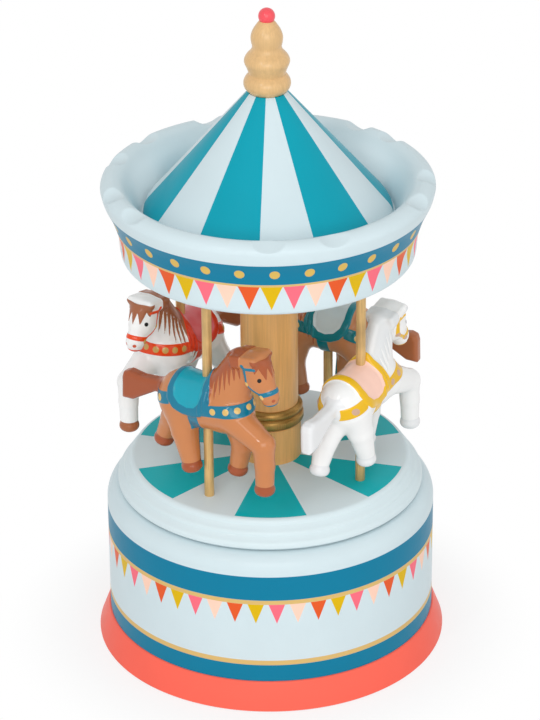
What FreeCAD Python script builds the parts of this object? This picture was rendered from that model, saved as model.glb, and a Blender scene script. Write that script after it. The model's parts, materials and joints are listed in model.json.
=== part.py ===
"""Wind-up carousel music box: a wooden roundabout that turns on a drum holding a comb-and-cylinder movement.

Millimetres, +Z up, origin at the centre of the foot's underside, front of the drum towards -Y.
"""

import math
import os

import FreeCAD
import Part

V = FreeCAD.Vector
UP = V(0, 0, 1)
ALONG_X = V(1, 0, 0)

# Fits
RUN = 0.05  # radial running clearance of a shaft in its hole
SEAT = 0.03  # radial clearance of a glued or pressed peg
GAP = 0.3  # air between pieces that turn past each other

# Foot, drum and base board
FOOT_R = 57.5
FOOT_TOP_R = 54.8
FOOT_H = 9.3
FOOT_ROUND = 1.2
RECESS_R = 40.0
DRUM_R = 53.75
DRUM_WALL = 7.75
DRUM_TOP = 55.0
DRUM_TOP_THICK = 6.0
DRUM_ROUND = 5.5
BOARD_REBATE = 1.5  # how far the base board reaches under the drum's wall
BOARD_THICK = 5.0
KEY_HOLE_R = 6.0  # through the base board, round the winding arbor
FOOT_SCREW_COUNT = 4
FOOT_SCREW_R = 1.5
FOOT_SCREW_LENGTH = 20.0
SCREW_HEAD_RATIO = 1.9
SCREW_HEAD_H = 1.6
SCREW_SLOT_W = 0.6
SCREW_SLOT_D = 0.7

# Turning shaft and its bearing
SHAFT_R = 2.5
BUSH_R = 4.5
WASHER_R = 11.0
WASHER_THICK = 0.5
WASHER_AIR = 0.1

# Deck: treads are (radius, height of the tread above the deck's underside)
DECK_H = 8.9
DECK_TREADS = ((50.0, 3.2), (48.0, 6.0), (46.0, DECK_H))
DECK_ROUND = 1.8
HUB_R = 9.0
HUB_H = 4.5
HUB_SCREW_COUNT = 3
HUB_SCREW_CIRCLE_R = 6.4
HUB_SCREW_R = 0.9
HUB_SCREW_LENGTH = 5.0

# Column, tie rod and collar ring
COLUMN_R = 9.3
PLINTH_R = 10.2
PLINTH_H = 12.5
RING_R = 11.1
RING_H = 6.6
COLUMN_SOCKET = 1.5
ROD_R = 2.0

# Canopy
CANOPY_Z = 137.0
CANOPY_R = 46.2
CANOPY_WAIST_R = 46.9
CANOPY_WAIST_H = 13.5
CANOPY_RIM_R = 53.0
CANOPY_RIM_WALL = 6.2
CANOPY_RIM_H = 23.2
CANOPY_RIM_CROWN = 2.4
CANOPY_FLOOR_H = 13.5
CANOPY_ROUND = 2.2
BOWL_R = 41.0
NOTCH_COUNT = 14
NOTCH_PHASE_DEG = -1.0
NOTCH_W = 9.6
NOTCH_DEPTH = 2.2

# Roof cone, finial and ball
CONE_R = 39.6
CONE_SHOULDER_R = 38.4
CONE_SHOULDER_H = 3.6
CONE_TOP_R = 6.2
CONE_H = 41.8
FINIAL_BEAD_R = 7.4
FINIAL_BEAD_H = 6.0
FINIAL_BULB_R = 7.2
FINIAL_BULB_H = 9.0
FINIAL_EGG_R = 5.05
FINIAL_EGG_H = 8.4
FINIAL_GROOVE_R = 5.8
FINIAL_NECK_R = 4.6
FINIAL_TIP_R = 2.3
BALL_R = 2.65
BALL_SINK = 1.2
ROD_IN_FINIAL = 9.0

# Poles and horses
POLE_COUNT = 4
POLE_R = 1.55
POLE_CIRCLE_R = 35.0
POLE_PHASE_DEG = -34.0
POLE_SOCKET = 6.0
HORSE_BACK_Z = 107.3  # height of the first horse's back above the ground
HORSE_LIFTS = (0.0, -1.2, -2.2, -2.2)  # the horses sit at slightly different heights on their poles
TRUNK_HALF_W = 7.7
TRUNK_HALF_H = 8.9
SADDLE_BACK_S = -10.8  # along the horse, from the pole
SADDLE_FRONT_S = 5.6
SADDLE_FRONT_RAKE = 3.0
SADDLE_SKIRT_DROP = 11.5
SADDLE_THICK = 0.75
GIRTH_W = 3.6
GIRTH_THICK = 0.3

# Movement: spring barrel on the carousel axis, pin cylinder lying along +X
BEDPLATE_THICK = 3.0
BEDPLATE_AIR = 1.5  # between the bedplate's rounded end and the drum's wall
BEDPLATE_X_LOW = -16.0
BEDPLATE_Y = (-23.5, 28.0)
BEDPLATE_SCREW_R = 1.2
ARBOR_R = 1.8
BARREL_R = 10.0
BARREL_H = 11.4
BARREL_WALL = 0.8
BARREL_LIFT = 1.7  # air under the drive wheel
DRIVE_WHEEL_THICK = 1.6
SHAFT_FLANGE_R = 6.0
SHAFT_FLANGE_H = 1.0
SPRING_STRIP = 0.3
SPRING_PITCH = 1.0
SPRING_EDGE_AIR = 0.6
CLUTCH_WIRE = 0.5
CLUTCH_PITCH = 1.0
CLUTCH_TURNS = 3
CLUTCH_COIL_R = ARBOR_R + CLUTCH_WIRE

CROWN_MODULE = 0.6
CROWN_TEETH = 40
CROWN_FACE = 2.4
PINION_TEETH = 14
TRAIN_MODULE = 0.5
CYLINDER_GEAR_TEETH = 26
IDLER_TEETH = 10
WORM_WHEEL_TEETH = 24
TOOTH_SHARE = 0.40  # tooth thickness at the pitch line, as a share of the pitch

CYLINDER_R = 5.9
CYLINDER_X_LOW = 17.2
PIN_R = 0.22
PIN_OUT = 0.5
PIN_AIR = 0.25
NOTE_COUNT = 18
PINS_PER_NOTE = 4
TRAIN_ARBOR_R = 1.0
CHEEK_THICK = 1.6
INNER_CHEEK_X = 14.4
CHEEK_FOOT = 5.0
CHEEK_FOOT_THICK = 1.0
CHEEK_SCREW_R = 0.8
GEAR_FACE = 1.8
WHEEL_AIR = 1.0  # between the outer cheek and the worm wheel
GEAR_AIR = 1.2  # between the cylinder's gear and the outer cheek
CYLINDER_AIR = 0.8  # between the cylinder and its gear

COMB_THICK = 0.8
COMB_TIP_GAP = 0.22  # slot between two teeth
COMB_TOOTH_LENGTH = 10.5
COMB_LENGTH = 19.0
COMB_SCREW_R = 1.0
WORM_ROOT_R = 1.0
WORM_TIP_R = 1.9
WORM_THREAD_H = 6.4
WORM_SHAFT_TOP = 22.6  # above the bedplate
VANE_R = 3.3
VANE_H = 3.6
VANE_THICK = 0.5
BRACKET_HALF_W = 2.2
BRACKET_POST = 1.2
BRACKET_AIR = 0.44  # between the governor bracket's corner and the drum's wall

KEY_W = 22.0
KEY_H = 5.6
KEY_THICK = 2.0
KEY_HUB_R = 3.6
KEY_LIFT = 1.4

# Places and heights that follow from the sizes above
DRUM_BORE_R = DRUM_R - DRUM_WALL
BOARD_R = DRUM_BORE_R + BOARD_REBATE
FOOT_SCREW_CIRCLE_R = (BOARD_R + DRUM_R) / 2
BEDPLATE_R = DRUM_BORE_R - BEDPLATE_AIR
BOARD_TOP = FOOT_H + BOARD_THICK
BED_TOP = BOARD_TOP + BEDPLATE_THICK
WHEEL_Z = BED_TOP + BARREL_LIFT
CROWN_FLOOR_Z = WHEEL_Z + DRIVE_WHEEL_THICK
CROWN_R = CROWN_MODULE * CROWN_TEETH / 2
CROWN_ADDENDUM = 0.8 * CROWN_MODULE
CROWN_DEDENDUM = 1.15 * CROWN_MODULE
PINION_PITCH_R = CROWN_MODULE * PINION_TEETH / 2
AXIS_Z = CROWN_FLOOR_Z + CROWN_DEDENDUM + PINION_PITCH_R
BARREL_TOP_Z = CROWN_FLOOR_Z + BARREL_H
DECK_Z = DRUM_TOP + WASHER_THICK + WASHER_AIR
DECK_TOP_Z = DECK_Z + DECK_H
COLUMN_Z = DECK_TOP_Z - COLUMN_SOCKET
RING_Z = DECK_TOP_Z + PLINTH_H
FLOOR_Z = CANOPY_Z + CANOPY_FLOOR_H
RIM_TOP_Z = CANOPY_Z + CANOPY_RIM_H + CANOPY_RIM_CROWN
CONE_TOP_Z = FLOOR_Z + CONE_H
FINIAL_H = FINIAL_BEAD_H + FINIAL_BULB_H + FINIAL_EGG_H
BALL_Z = CONE_TOP_Z + FINIAL_H + BALL_R - BALL_SINK
SHAFT_TOP_Z = DECK_Z + HUB_H / 2
ROD_TOP_Z = CONE_TOP_Z + ROD_IN_FINIAL
IDLER_Y = -TRAIN_MODULE * (CYLINDER_GEAR_TEETH + IDLER_TEETH) / 2
WORM_WHEEL_R = TRAIN_MODULE * WORM_WHEEL_TEETH / 2
WORM_Y = IDLER_Y - WORM_WHEEL_R - (WORM_ROOT_R + WORM_TIP_R) / 2
BRACKET_Y = WORM_Y - VANE_R - GAP
WORM_X = math.sqrt((DRUM_BORE_R - BRACKET_AIR) ** 2 - (BRACKET_Y - BRACKET_POST) ** 2) - BRACKET_HALF_W
WORM_WHEEL_X = WORM_X - GEAR_FACE / 2
OUTER_CHEEK_X = WORM_WHEEL_X - WHEEL_AIR - CHEEK_THICK
CYLINDER_GEAR_X = OUTER_CHEEK_X - GEAR_AIR - GEAR_FACE
CYLINDER_X = (CYLINDER_X_LOW, CYLINDER_GEAR_X - CYLINDER_AIR)
BEDPLATE_SCREWS = ((-11.0, -15.0), (-11.0, 20.0), (OUTER_CHEEK_X - 8.6, -17.0))
COMB_TIP_Y = CYLINDER_R + PIN_OUT + PIN_AIR
COMB_END_Y = COMB_TIP_Y + COMB_LENGTH


# Basic shapes

def cylinder(radius, z_low, z_high, x=0.0, y=0.0):
    return Part.makeCylinder(radius, z_high - z_low, V(x, y, z_low))


def cylinder_x(radius, x_low, x_high, y=0.0, z=0.0):
    return Part.makeCylinder(radius, x_high - x_low, V(x_low, y, z), ALONG_X)


def box(x_range, y_range, z_range):
    low = V(x_range[0], y_range[0], z_range[0])
    size = [high - start for start, high in (x_range, y_range, z_range)]
    return Part.makeBox(*size, low)


def line(a, b):
    return Part.LineSegment(V(a[0], 0, a[1]), V(b[0], 0, b[1])).toShape()


def arc(a, through, b):
    points = [V(p[0], 0, p[1]) for p in (a, through, b)]
    return Part.Arc(*points).toShape()


def curve(points):
    spline = Part.BSplineCurve()
    spline.interpolate([V(r, 0, z) for r, z in points])
    return spline.toShape()


def revolve(edges):
    face = Part.Face(Part.Wire(edges))
    return face.revolve(V(0, 0, 0), UP, 360)


def fuse(shapes):
    first, rest = shapes[0], shapes[1:]
    return first.multiFuse(rest).removeSplitter() if rest else first


def around(shape, count, phase_deg=0.0):
    """Copies of a shape turned evenly about the carousel axis."""
    copies = []
    for i in range(count):
        turned = shape.copy()
        turned.rotate(V(0, 0, 0), UP, phase_deg + i * 360.0 / count)
        copies.append(turned)
    return copies


def screw(radius, length):
    """A slotted cheese-head screw along +Z: the underside of its head is at the origin, its shank below."""
    head_r = radius * SCREW_HEAD_RATIO
    head = cylinder(head_r, 0, SCREW_HEAD_H)
    shank = cylinder(radius, -length, 0)
    half = SCREW_SLOT_W / 2
    slot = box((-head_r, head_r), (-half, half), (SCREW_HEAD_H - SCREW_SLOT_D, SCREW_HEAD_H))
    return fuse([head, shank]).cut(slot)


def screws_down(radius, length, places, seat_z):
    """Screws driven downwards, their heads standing on the height seat_z."""
    made = []
    for x, y in places:
        one = screw(radius, length)
        one.translate(V(x, y, seat_z))
        made.append(one)
    return made


def holes(radius, places, z_low, z_high):
    return [cylinder(radius, z_low, z_high, x, y) for x, y in places]


# Gears

def toothed_profile(teeth, module, share, first_tooth_deg):
    """Corner points of a spur gear: straight-flanked teeth, one of them centred on first_tooth_deg."""
    pitch_r = module * teeth / 2
    tip_r, root_r = pitch_r + 0.8 * module, pitch_r - 1.15 * module
    step = 2 * math.pi / teeth
    half_root, half_tip = share * step * 0.72, share * step * 0.26
    points = []
    for i in range(teeth):
        middle = math.radians(first_tooth_deg) + i * step
        corners = ((root_r, -half_root), (tip_r, -half_tip), (tip_r, half_tip), (root_r, half_root))
        points += [(radius * math.cos(middle + a), radius * math.sin(middle + a)) for radius, a in corners]
    return points


def spur_gear(teeth, module, x_low, y, z, first_tooth_deg, bore):
    """A spur gear on an arbor along +X; angles run from +Y towards +Z."""
    points = [V(x_low, y + p, z + q) for p, q in toothed_profile(teeth, module, TOOTH_SHARE, first_tooth_deg)]
    face = Part.Face(Part.makePolygon(points + points[:1]))
    blank = face.extrude(V(GEAR_FACE, 0, 0))
    return blank.cut(cylinder_x(bore, x_low - 1, x_low + GEAR_FACE + 1, y, z))


def crown_teeth():
    """Face teeth of the drive wheel, with a gap centred on +X where the pinion's tooth stands."""
    pitch = math.pi * CROWN_MODULE
    low, high = TOOTH_SHARE * pitch * 0.72, TOOTH_SHARE * pitch * 0.26
    inner = CROWN_R - CROWN_FACE / 2
    top = CROWN_FLOOR_Z + CROWN_DEDENDUM + CROWN_ADDENDUM
    sink = CROWN_FLOOR_Z - DRIVE_WHEEL_THICK / 4
    half = ((low, sink), (low, CROWN_FLOOR_Z), (high, top))
    corners = tuple((-across, z) for across, z in half) + half[::-1]
    points = [V(inner, across, height) for across, height in corners]
    tooth = Part.Face(Part.makePolygon(points + points[:1])).extrude(V(CROWN_FACE, 0, 0))
    return around(tooth, CROWN_TEETH, 180.0 / CROWN_TEETH)


# Foot, drum and base board

def foot_screw_places():
    angles = [math.radians(45 + i * 360.0 / FOOT_SCREW_COUNT) for i in range(FOOT_SCREW_COUNT)]
    return [(FOOT_SCREW_CIRCLE_R * math.cos(a), FOOT_SCREW_CIRCLE_R * math.sin(a)) for a in angles]


def foot_ring():
    """Flared ring under the drum; its open middle is the recess that the key turns in."""
    side = [
        line((RECESS_R, 0), (FOOT_R - FOOT_ROUND, 0)),
        arc((FOOT_R - FOOT_ROUND, 0), (FOOT_R - 0.3 * FOOT_ROUND, 0.3 * FOOT_ROUND), (FOOT_R, FOOT_ROUND)),
        line((FOOT_R, FOOT_ROUND), (FOOT_TOP_R + 0.25 * FOOT_ROUND, FOOT_H - 0.5 * FOOT_ROUND)),
        line((FOOT_TOP_R + 0.25 * FOOT_ROUND, FOOT_H - 0.5 * FOOT_ROUND),
             (FOOT_TOP_R - 0.3 * FOOT_ROUND, FOOT_H)),
        line((FOOT_TOP_R - 0.3 * FOOT_ROUND, FOOT_H), (RECESS_R, FOOT_H)),
        line((RECESS_R, FOOT_H), (RECESS_R, 0)),
    ]
    head_r = FOOT_SCREW_R * SCREW_HEAD_RATIO + RUN
    ring = revolve(side)
    ring = ring.cut(holes(FOOT_SCREW_R + RUN, foot_screw_places(), -1, FOOT_H + 1))
    return ring.cut(holes(head_r, foot_screw_places(), -1, 2 * SCREW_HEAD_H))


def foot_screws():
    made = []
    for x, y in foot_screw_places():
        one = screw(FOOT_SCREW_R, FOOT_SCREW_LENGTH)
        one.rotate(V(0, 0, 0), ALONG_X, 180)
        one.translate(V(x, y, 2 * SCREW_HEAD_H))
        made.append(one)
    return made


def drum_shell():
    """Turned drum, closed on top, with a rebate at the bottom that traps the base board on the foot."""
    inner_r = DRUM_BORE_R
    ceiling = DRUM_TOP - DRUM_TOP_THICK
    lip = DRUM_R - DRUM_ROUND
    bend = DRUM_ROUND * (1 - math.sqrt(0.5))
    profile = [
        line((BUSH_R + SEAT, DRUM_TOP), (lip, DRUM_TOP)),
        arc((lip, DRUM_TOP), (DRUM_R - bend, DRUM_TOP - bend), (DRUM_R, DRUM_TOP - DRUM_ROUND)),
        line((DRUM_R, DRUM_TOP - DRUM_ROUND), (DRUM_R, FOOT_H)),
        line((DRUM_R, FOOT_H), (BOARD_R + SEAT, FOOT_H)),
        line((BOARD_R + SEAT, FOOT_H), (BOARD_R + SEAT, BOARD_TOP)),
        line((BOARD_R + SEAT, BOARD_TOP), (inner_r, BOARD_TOP)),
        line((inner_r, BOARD_TOP), (inner_r, ceiling)),
        line((inner_r, ceiling), (BUSH_R + SEAT, ceiling)),
        line((BUSH_R + SEAT, ceiling), (BUSH_R + SEAT, DRUM_TOP)),
    ]
    depth = 2 * SCREW_HEAD_H + FOOT_SCREW_LENGTH + 1
    return revolve(profile).cut(holes(FOOT_SCREW_R + SEAT, foot_screw_places(), FOOT_H - 1, depth))


def base_board():
    board = cylinder(BOARD_R, FOOT_H, BOARD_TOP)
    board = board.cut(cylinder(KEY_HOLE_R, FOOT_H - 1, BOARD_TOP + 1))
    return board.cut(holes(BEDPLATE_SCREW_R + SEAT, BEDPLATE_SCREWS, FOOT_H + 0.5, BOARD_TOP + 1))


def shaft_bush():
    tube = cylinder(BUSH_R, DRUM_TOP - DRUM_TOP_THICK, DRUM_TOP)
    return tube.cut(cylinder(SHAFT_R + RUN, 0, DRUM_TOP + 1))


def thrust_washer():
    disc = cylinder(WASHER_R, DRUM_TOP, DRUM_TOP + WASHER_THICK)
    return disc.cut(cylinder(SHAFT_R + GAP, 0, DECK_Z))


# Winding key, arbor and spring barrel

def winding_arbor():
    return cylinder(ARBOR_R, KEY_LIFT, BARREL_TOP_Z - BARREL_WALL - GAP)


def winding_key():
    """Flat butterfly key on the arbor's lower end, inside the foot's recess."""
    hub = cylinder(KEY_HUB_R, KEY_LIFT, FOOT_H - GAP)
    lobe = KEY_H / 2
    wings = []
    for side in (-1, 1):
        middle = V(side * (KEY_W / 2 - lobe), -KEY_THICK / 2, KEY_LIFT + lobe)
        wings.append(Part.makeCylinder(lobe, KEY_THICK, middle, V(0, 1, 0)))
    web_z = (KEY_LIFT + KEY_H * 0.25, KEY_LIFT + KEY_H * 0.75)
    web = box((lobe - KEY_W / 2, KEY_W / 2 - lobe), (-KEY_THICK / 2, KEY_THICK / 2), web_z)
    return fuse([hub, web] + wings).cut(cylinder(ARBOR_R + SEAT, 0, FOOT_H + 1))


def clutch_spring():
    """Wrap spring round the arbor: it lets the key wind one way and grips the other way."""
    height = CLUTCH_PITCH * CLUTCH_TURNS
    helix = Part.makeHelix(CLUTCH_PITCH, height, CLUTCH_COIL_R)
    wire = Part.Wire(Part.makeCircle(CLUTCH_WIRE / 2, V(CLUTCH_COIL_R, 0, 0), V(0, 1, 0)))
    coil = Part.Wire(helix).makePipeShell([wire], True, True)
    coil.translate(V(0, 0, BOARD_TOP - height / 2))
    return coil


def drive_wheel():
    """Toothed floor of the spring barrel; its face teeth turn the cylinder's pinion."""
    disc = cylinder(CROWN_R + CROWN_FACE / 2 + 0.2, WHEEL_Z, CROWN_FLOOR_Z)
    return fuse([disc] + crown_teeth()).cut(cylinder(ARBOR_R + RUN, 0, BARREL_TOP_Z))


def barrel_case():
    cup = cylinder(BARREL_R, CROWN_FLOOR_Z, BARREL_TOP_Z)
    return cup.cut(cylinder(BARREL_R - BARREL_WALL, CROWN_FLOOR_Z - 1, BARREL_TOP_Z - BARREL_WALL))


def mainspring():
    """Flat spiral strip of half-circle arcs that grow outwards from the arbor to the barrel's wall."""
    outer_limit = BARREL_R - BARREL_WALL - GAP
    half_step = SPRING_PITCH / 2
    radius, centre, side = ARBOR_R + 2 * GAP, 0.0, 1
    inner_edges, outer_edges = [], []
    while radius + half_step + SPRING_STRIP < outer_limit:
        for edges, r in ((inner_edges, radius), (outer_edges, radius + SPRING_STRIP)):
            start, top, end = V(centre + side * r, 0), V(centre, side * r), V(centre - side * r, 0)
            edges.append(Part.Arc(start, top, end).toShape())
        centre += side * half_step
        radius += half_step
        side = -side
    first_cap = Part.LineSegment(inner_edges[0].Vertexes[0].Point, outer_edges[0].Vertexes[0].Point).toShape()
    ends = [edges[-1].valueAt(edges[-1].LastParameter) for edges in (inner_edges, outer_edges)]
    last_cap = Part.LineSegment(*ends).toShape()
    outline = Part.Wire(Part.__sortEdges__([first_cap, last_cap] + inner_edges + outer_edges))
    height = BARREL_H - BARREL_WALL - 2 * SPRING_EDGE_AIR
    strip = Part.Face(outline).extrude(V(0, 0, height))
    strip.translate(V(0, 0, CROWN_FLOOR_Z + SPRING_EDGE_AIR))
    return strip


def drive_shaft():
    flange = cylinder(SHAFT_FLANGE_R, BARREL_TOP_Z, BARREL_TOP_Z + SHAFT_FLANGE_H)
    return fuse([flange, cylinder(SHAFT_R, BARREL_TOP_Z, SHAFT_TOP_Z)])


# Bedplate, cheeks, comb and the gear train

def cheek_screw_places():
    inner = [(INNER_CHEEK_X - CHEEK_FOOT / 2, IDLER_Y - 5.0)]
    outer = [(OUTER_CHEEK_X - CHEEK_FOOT / 2, y) for y in (IDLER_Y - 5.0, 6.0)]
    return inner + outer


def comb_screw_places():
    y = COMB_TIP_Y + (COMB_TOOTH_LENGTH + COMB_LENGTH) / 2
    low, high = CYLINDER_X
    third = (high - low) / 4
    return [(low + third, y), (high - third, y)]


def bedplate():
    plate = box((BEDPLATE_X_LOW, BEDPLATE_R), BEDPLATE_Y, (BOARD_TOP, BED_TOP))
    plate = plate.common(cylinder(BEDPLATE_R, BOARD_TOP, BED_TOP))
    clutch_r = CLUTCH_COIL_R + CLUTCH_WIRE / 2 + SEAT
    plate = plate.cut(cylinder(clutch_r, BOARD_TOP - 1, BED_TOP - CLUTCH_WIRE * 2))
    plate = plate.cut(cylinder(ARBOR_R + RUN, BOARD_TOP - 1, BED_TOP + 1))
    plate = plate.cut(holes(BEDPLATE_SCREW_R + RUN, BEDPLATE_SCREWS, BOARD_TOP - 1, BED_TOP + 1))
    tapped = holes(CHEEK_SCREW_R + SEAT, cheek_screw_places(), BOARD_TOP + 0.5, BED_TOP + 1)
    tapped += holes(COMB_SCREW_R + SEAT, comb_screw_places(), BOARD_TOP + 0.5, BED_TOP + 1)
    tapped += [cylinder(WORM_ROOT_R * 0.8 + RUN, BED_TOP - 1.5, BED_TOP + 1, WORM_X, WORM_Y)]
    return plate.cut(tapped)


def cheek(x):
    """Upright that carries the arbors of cylinder and idler, with a foot screwed to the bedplate."""
    y_range = (IDLER_Y - 7.0, 8.5)
    upright = box((x, x + CHEEK_THICK), y_range, (BED_TOP, AXIS_Z + 3.5))
    foot = box((x - CHEEK_FOOT, x), y_range, (BED_TOP, BED_TOP + CHEEK_FOOT_THICK))
    made = fuse([upright, foot])
    for y in (0.0, IDLER_Y):
        made = made.cut(cylinder_x(TRAIN_ARBOR_R + RUN, x - 1, x + CHEEK_THICK + 1, y, AXIS_Z))
    return made.cut(holes(CHEEK_SCREW_R + RUN, cheek_screw_places(), BED_TOP - 1, BED_TOP + CHEEK_THICK + 1))


def inner_cheek():
    wheel_path = cylinder(CROWN_R + CROWN_FACE / 2 + 0.2 + GAP, BED_TOP - 1, AXIS_Z + 5)
    return cheek(INNER_CHEEK_X).cut(wheel_path)


def comb_block():
    low, high = CYLINDER_X
    block = box((low, high), (COMB_TIP_Y + COMB_TOOTH_LENGTH, COMB_END_Y), (BED_TOP, AXIS_Z - COMB_THICK / 2))
    return block.cut(holes(COMB_SCREW_R + RUN, comb_screw_places(), BED_TOP - 1, AXIS_Z))


def comb():
    """Steel comb: one tooth for each note, its tips just outside the pins' circle."""
    low, high = CYLINDER_X
    plate = box((low, high), (COMB_TIP_Y, COMB_END_Y), (AXIS_Z - COMB_THICK / 2, AXIS_Z + COMB_THICK / 2))
    pitch = (high - low) / NOTE_COUNT
    slots = []
    for i in range(1, NOTE_COUNT):
        middle = low + i * pitch
        x_range = (middle - COMB_TIP_GAP / 2, middle + COMB_TIP_GAP / 2)
        depth = COMB_TOOTH_LENGTH - 0.2 * i
        slots.append(box(x_range, (COMB_TIP_Y - 1, COMB_TIP_Y + depth), (AXIS_Z - 2, AXIS_Z + 2)))
    plate = plate.cut(slots)
    return plate.cut(holes(COMB_SCREW_R + RUN, comb_screw_places(), AXIS_Z - 2, AXIS_Z + 2))


def pin_cylinder():
    """Brass cylinder with the tune's pins standing out of it, spread by a golden-angle rule."""
    low, high = CYLINDER_X
    pitch = (high - low) / NOTE_COUNT
    pins = []
    for note in range(NOTE_COUNT):
        x = low + (note + 0.5) * pitch
        for k in range(PINS_PER_NOTE):
            angle = math.radians(137.5 * (note * PINS_PER_NOTE + k))
            out = V(0, math.cos(angle), math.sin(angle))
            start = V(x, 0, AXIS_Z) + out * (CYLINDER_R - 1)
            pins.append(Part.makeCylinder(PIN_R, PIN_OUT + 1, start, out))
    body = cylinder_x(CYLINDER_R, low, high, 0, AXIS_Z)
    return fuse([body] + pins).cut(cylinder_x(TRAIN_ARBOR_R + SEAT, low - 1, high + 1, 0, AXIS_Z))


def cylinder_arbor():
    start = CROWN_R - CROWN_FACE / 2
    return cylinder_x(TRAIN_ARBOR_R, start, OUTER_CHEEK_X + CHEEK_THICK + 0.6, 0, AXIS_Z)


def crown_pinion():
    x = CROWN_R - GEAR_FACE / 2
    return spur_gear(PINION_TEETH, CROWN_MODULE, x, 0, AXIS_Z, -90, TRAIN_ARBOR_R + SEAT)


def cylinder_gear():
    return spur_gear(CYLINDER_GEAR_TEETH, TRAIN_MODULE, CYLINDER_GEAR_X, 0, AXIS_Z, 180, TRAIN_ARBOR_R + SEAT)


def idler_arbor():
    return cylinder_x(TRAIN_ARBOR_R, INNER_CHEEK_X, WORM_WHEEL_X + GEAR_FACE + 0.4, IDLER_Y, AXIS_Z)


def idler_pinion():
    gap_first = 180.0 / IDLER_TEETH
    bore_r = TRAIN_ARBOR_R + SEAT
    return spur_gear(IDLER_TEETH, TRAIN_MODULE, CYLINDER_GEAR_X, IDLER_Y, AXIS_Z, gap_first, bore_r)


def worm_wheel():
    tooth = 180.0
    bore_r = TRAIN_ARBOR_R + SEAT
    return spur_gear(WORM_WHEEL_TEETH, TRAIN_MODULE, WORM_WHEEL_X, IDLER_Y, AXIS_Z, tooth, bore_r)


def worm_shaft():
    """Governor shaft with a single-start right-hand thread driven by the worm wheel."""
    lead = math.pi * TRAIN_MODULE
    start_z = AXIS_Z - WORM_THREAD_H / 2
    helix = Part.makeHelix(lead, WORM_THREAD_H, WORM_ROOT_R)
    low, high = 0.16 * lead, 0.09 * lead
    sink, reach = 0.25, WORM_TIP_R - WORM_ROOT_R
    corners = ((-sink, -low), (reach, -high), (reach, high), (-sink, low))
    points = [V(WORM_ROOT_R + out, 0, up) for out, up in corners]
    thread = Part.Wire(helix).makePipeShell([Part.makePolygon(points + points[:1])], True, True)
    # A wheel tooth stands at the worm's +Y side on the axis height, so the thread passes half a lead above.
    thread.rotate(V(0, 0, 0), UP, 90 - 180 * (WORM_THREAD_H / lead + 1))
    thread.translate(V(WORM_X, WORM_Y, start_z))
    core = cylinder(WORM_ROOT_R, BED_TOP + GAP, BED_TOP + WORM_SHAFT_TOP - 1.5, WORM_X, WORM_Y)
    pivots = cylinder(WORM_ROOT_R * 0.8, BED_TOP - 1.2, BED_TOP + WORM_SHAFT_TOP, WORM_X, WORM_Y)
    return fuse([core, pivots, thread])


def fly_vane():
    """Two-bladed air brake on the governor shaft."""
    top = BED_TOP + WORM_SHAFT_TOP - 2.0
    low = top - VANE_H
    hub = cylinder(WORM_ROOT_R + 0.7, low, top, WORM_X, WORM_Y)
    half = VANE_THICK / 2
    blade = box((WORM_X - VANE_R, WORM_X + VANE_R), (WORM_Y - half, WORM_Y + half), (low, top))
    return fuse([hub, blade]).cut(cylinder(WORM_ROOT_R + SEAT, low - 1, top + 1, WORM_X, WORM_Y))


def governor_bracket():
    """Post with an arm over the fly, holding the governor shaft's upper pivot."""
    arm_z = BED_TOP + WORM_SHAFT_TOP - 1.0
    x_range = (WORM_X - BRACKET_HALF_W, WORM_X + BRACKET_HALF_W)
    post = box(x_range, (BRACKET_Y - BRACKET_POST, BRACKET_Y), (BED_TOP, arm_z + 1.4))
    arm = box(x_range, (BRACKET_Y, WORM_Y + 2.0), (arm_z, arm_z + 1.4))
    return fuse([post, arm]).cut(cylinder(WORM_ROOT_R * 0.8 + RUN, arm_z - 1, arm_z + 3, WORM_X, WORM_Y))


# Deck, hub, column and rod

def deck():
    """Turned platform with stepped edge treads; sockets for the column and poles on top, the hub below."""
    edges = [line((0, DECK_Z), (DECK_TREADS[0][0], DECK_Z))]
    z = DECK_Z
    bend = DECK_ROUND * (1 - math.sqrt(0.5))
    for i, (radius, height) in enumerate(DECK_TREADS):
        top = DECK_Z + height
        inner = DECK_TREADS[i + 1][0] if i + 1 < len(DECK_TREADS) else 0.0
        edges.append(line((radius, z), (radius, top - DECK_ROUND)))
        edges.append(arc((radius, top - DECK_ROUND), (radius - bend, top - bend), (radius - DECK_ROUND, top)))
        edges.append(line((radius - DECK_ROUND, top), (inner, top)))
        z = top
    edges.append(line((0, z), (0, DECK_Z)))
    board = revolve(edges)
    board = board.cut(cylinder(HUB_R + SEAT, DECK_Z - 1, DECK_Z + HUB_H))
    board = board.cut(cylinder(PLINTH_R + SEAT, COLUMN_Z, DECK_TOP_Z + 1))
    board = board.cut(cylinder(ROD_R + SEAT, DECK_Z, DECK_TOP_Z))
    board = board.cut(holes(POLE_R + SEAT, pole_places(), DECK_TOP_Z - POLE_SOCKET, DECK_TOP_Z + 1))
    return board.cut(holes(HUB_SCREW_R + SEAT, hub_screw_places(), DECK_Z, DECK_Z + HUB_SCREW_LENGTH + 1.8))


def hub_screw_places():
    angles = [math.radians(i * 360.0 / HUB_SCREW_COUNT) for i in range(HUB_SCREW_COUNT)]
    return [(HUB_SCREW_CIRCLE_R * math.cos(a), HUB_SCREW_CIRCLE_R * math.sin(a)) for a in angles]


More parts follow.
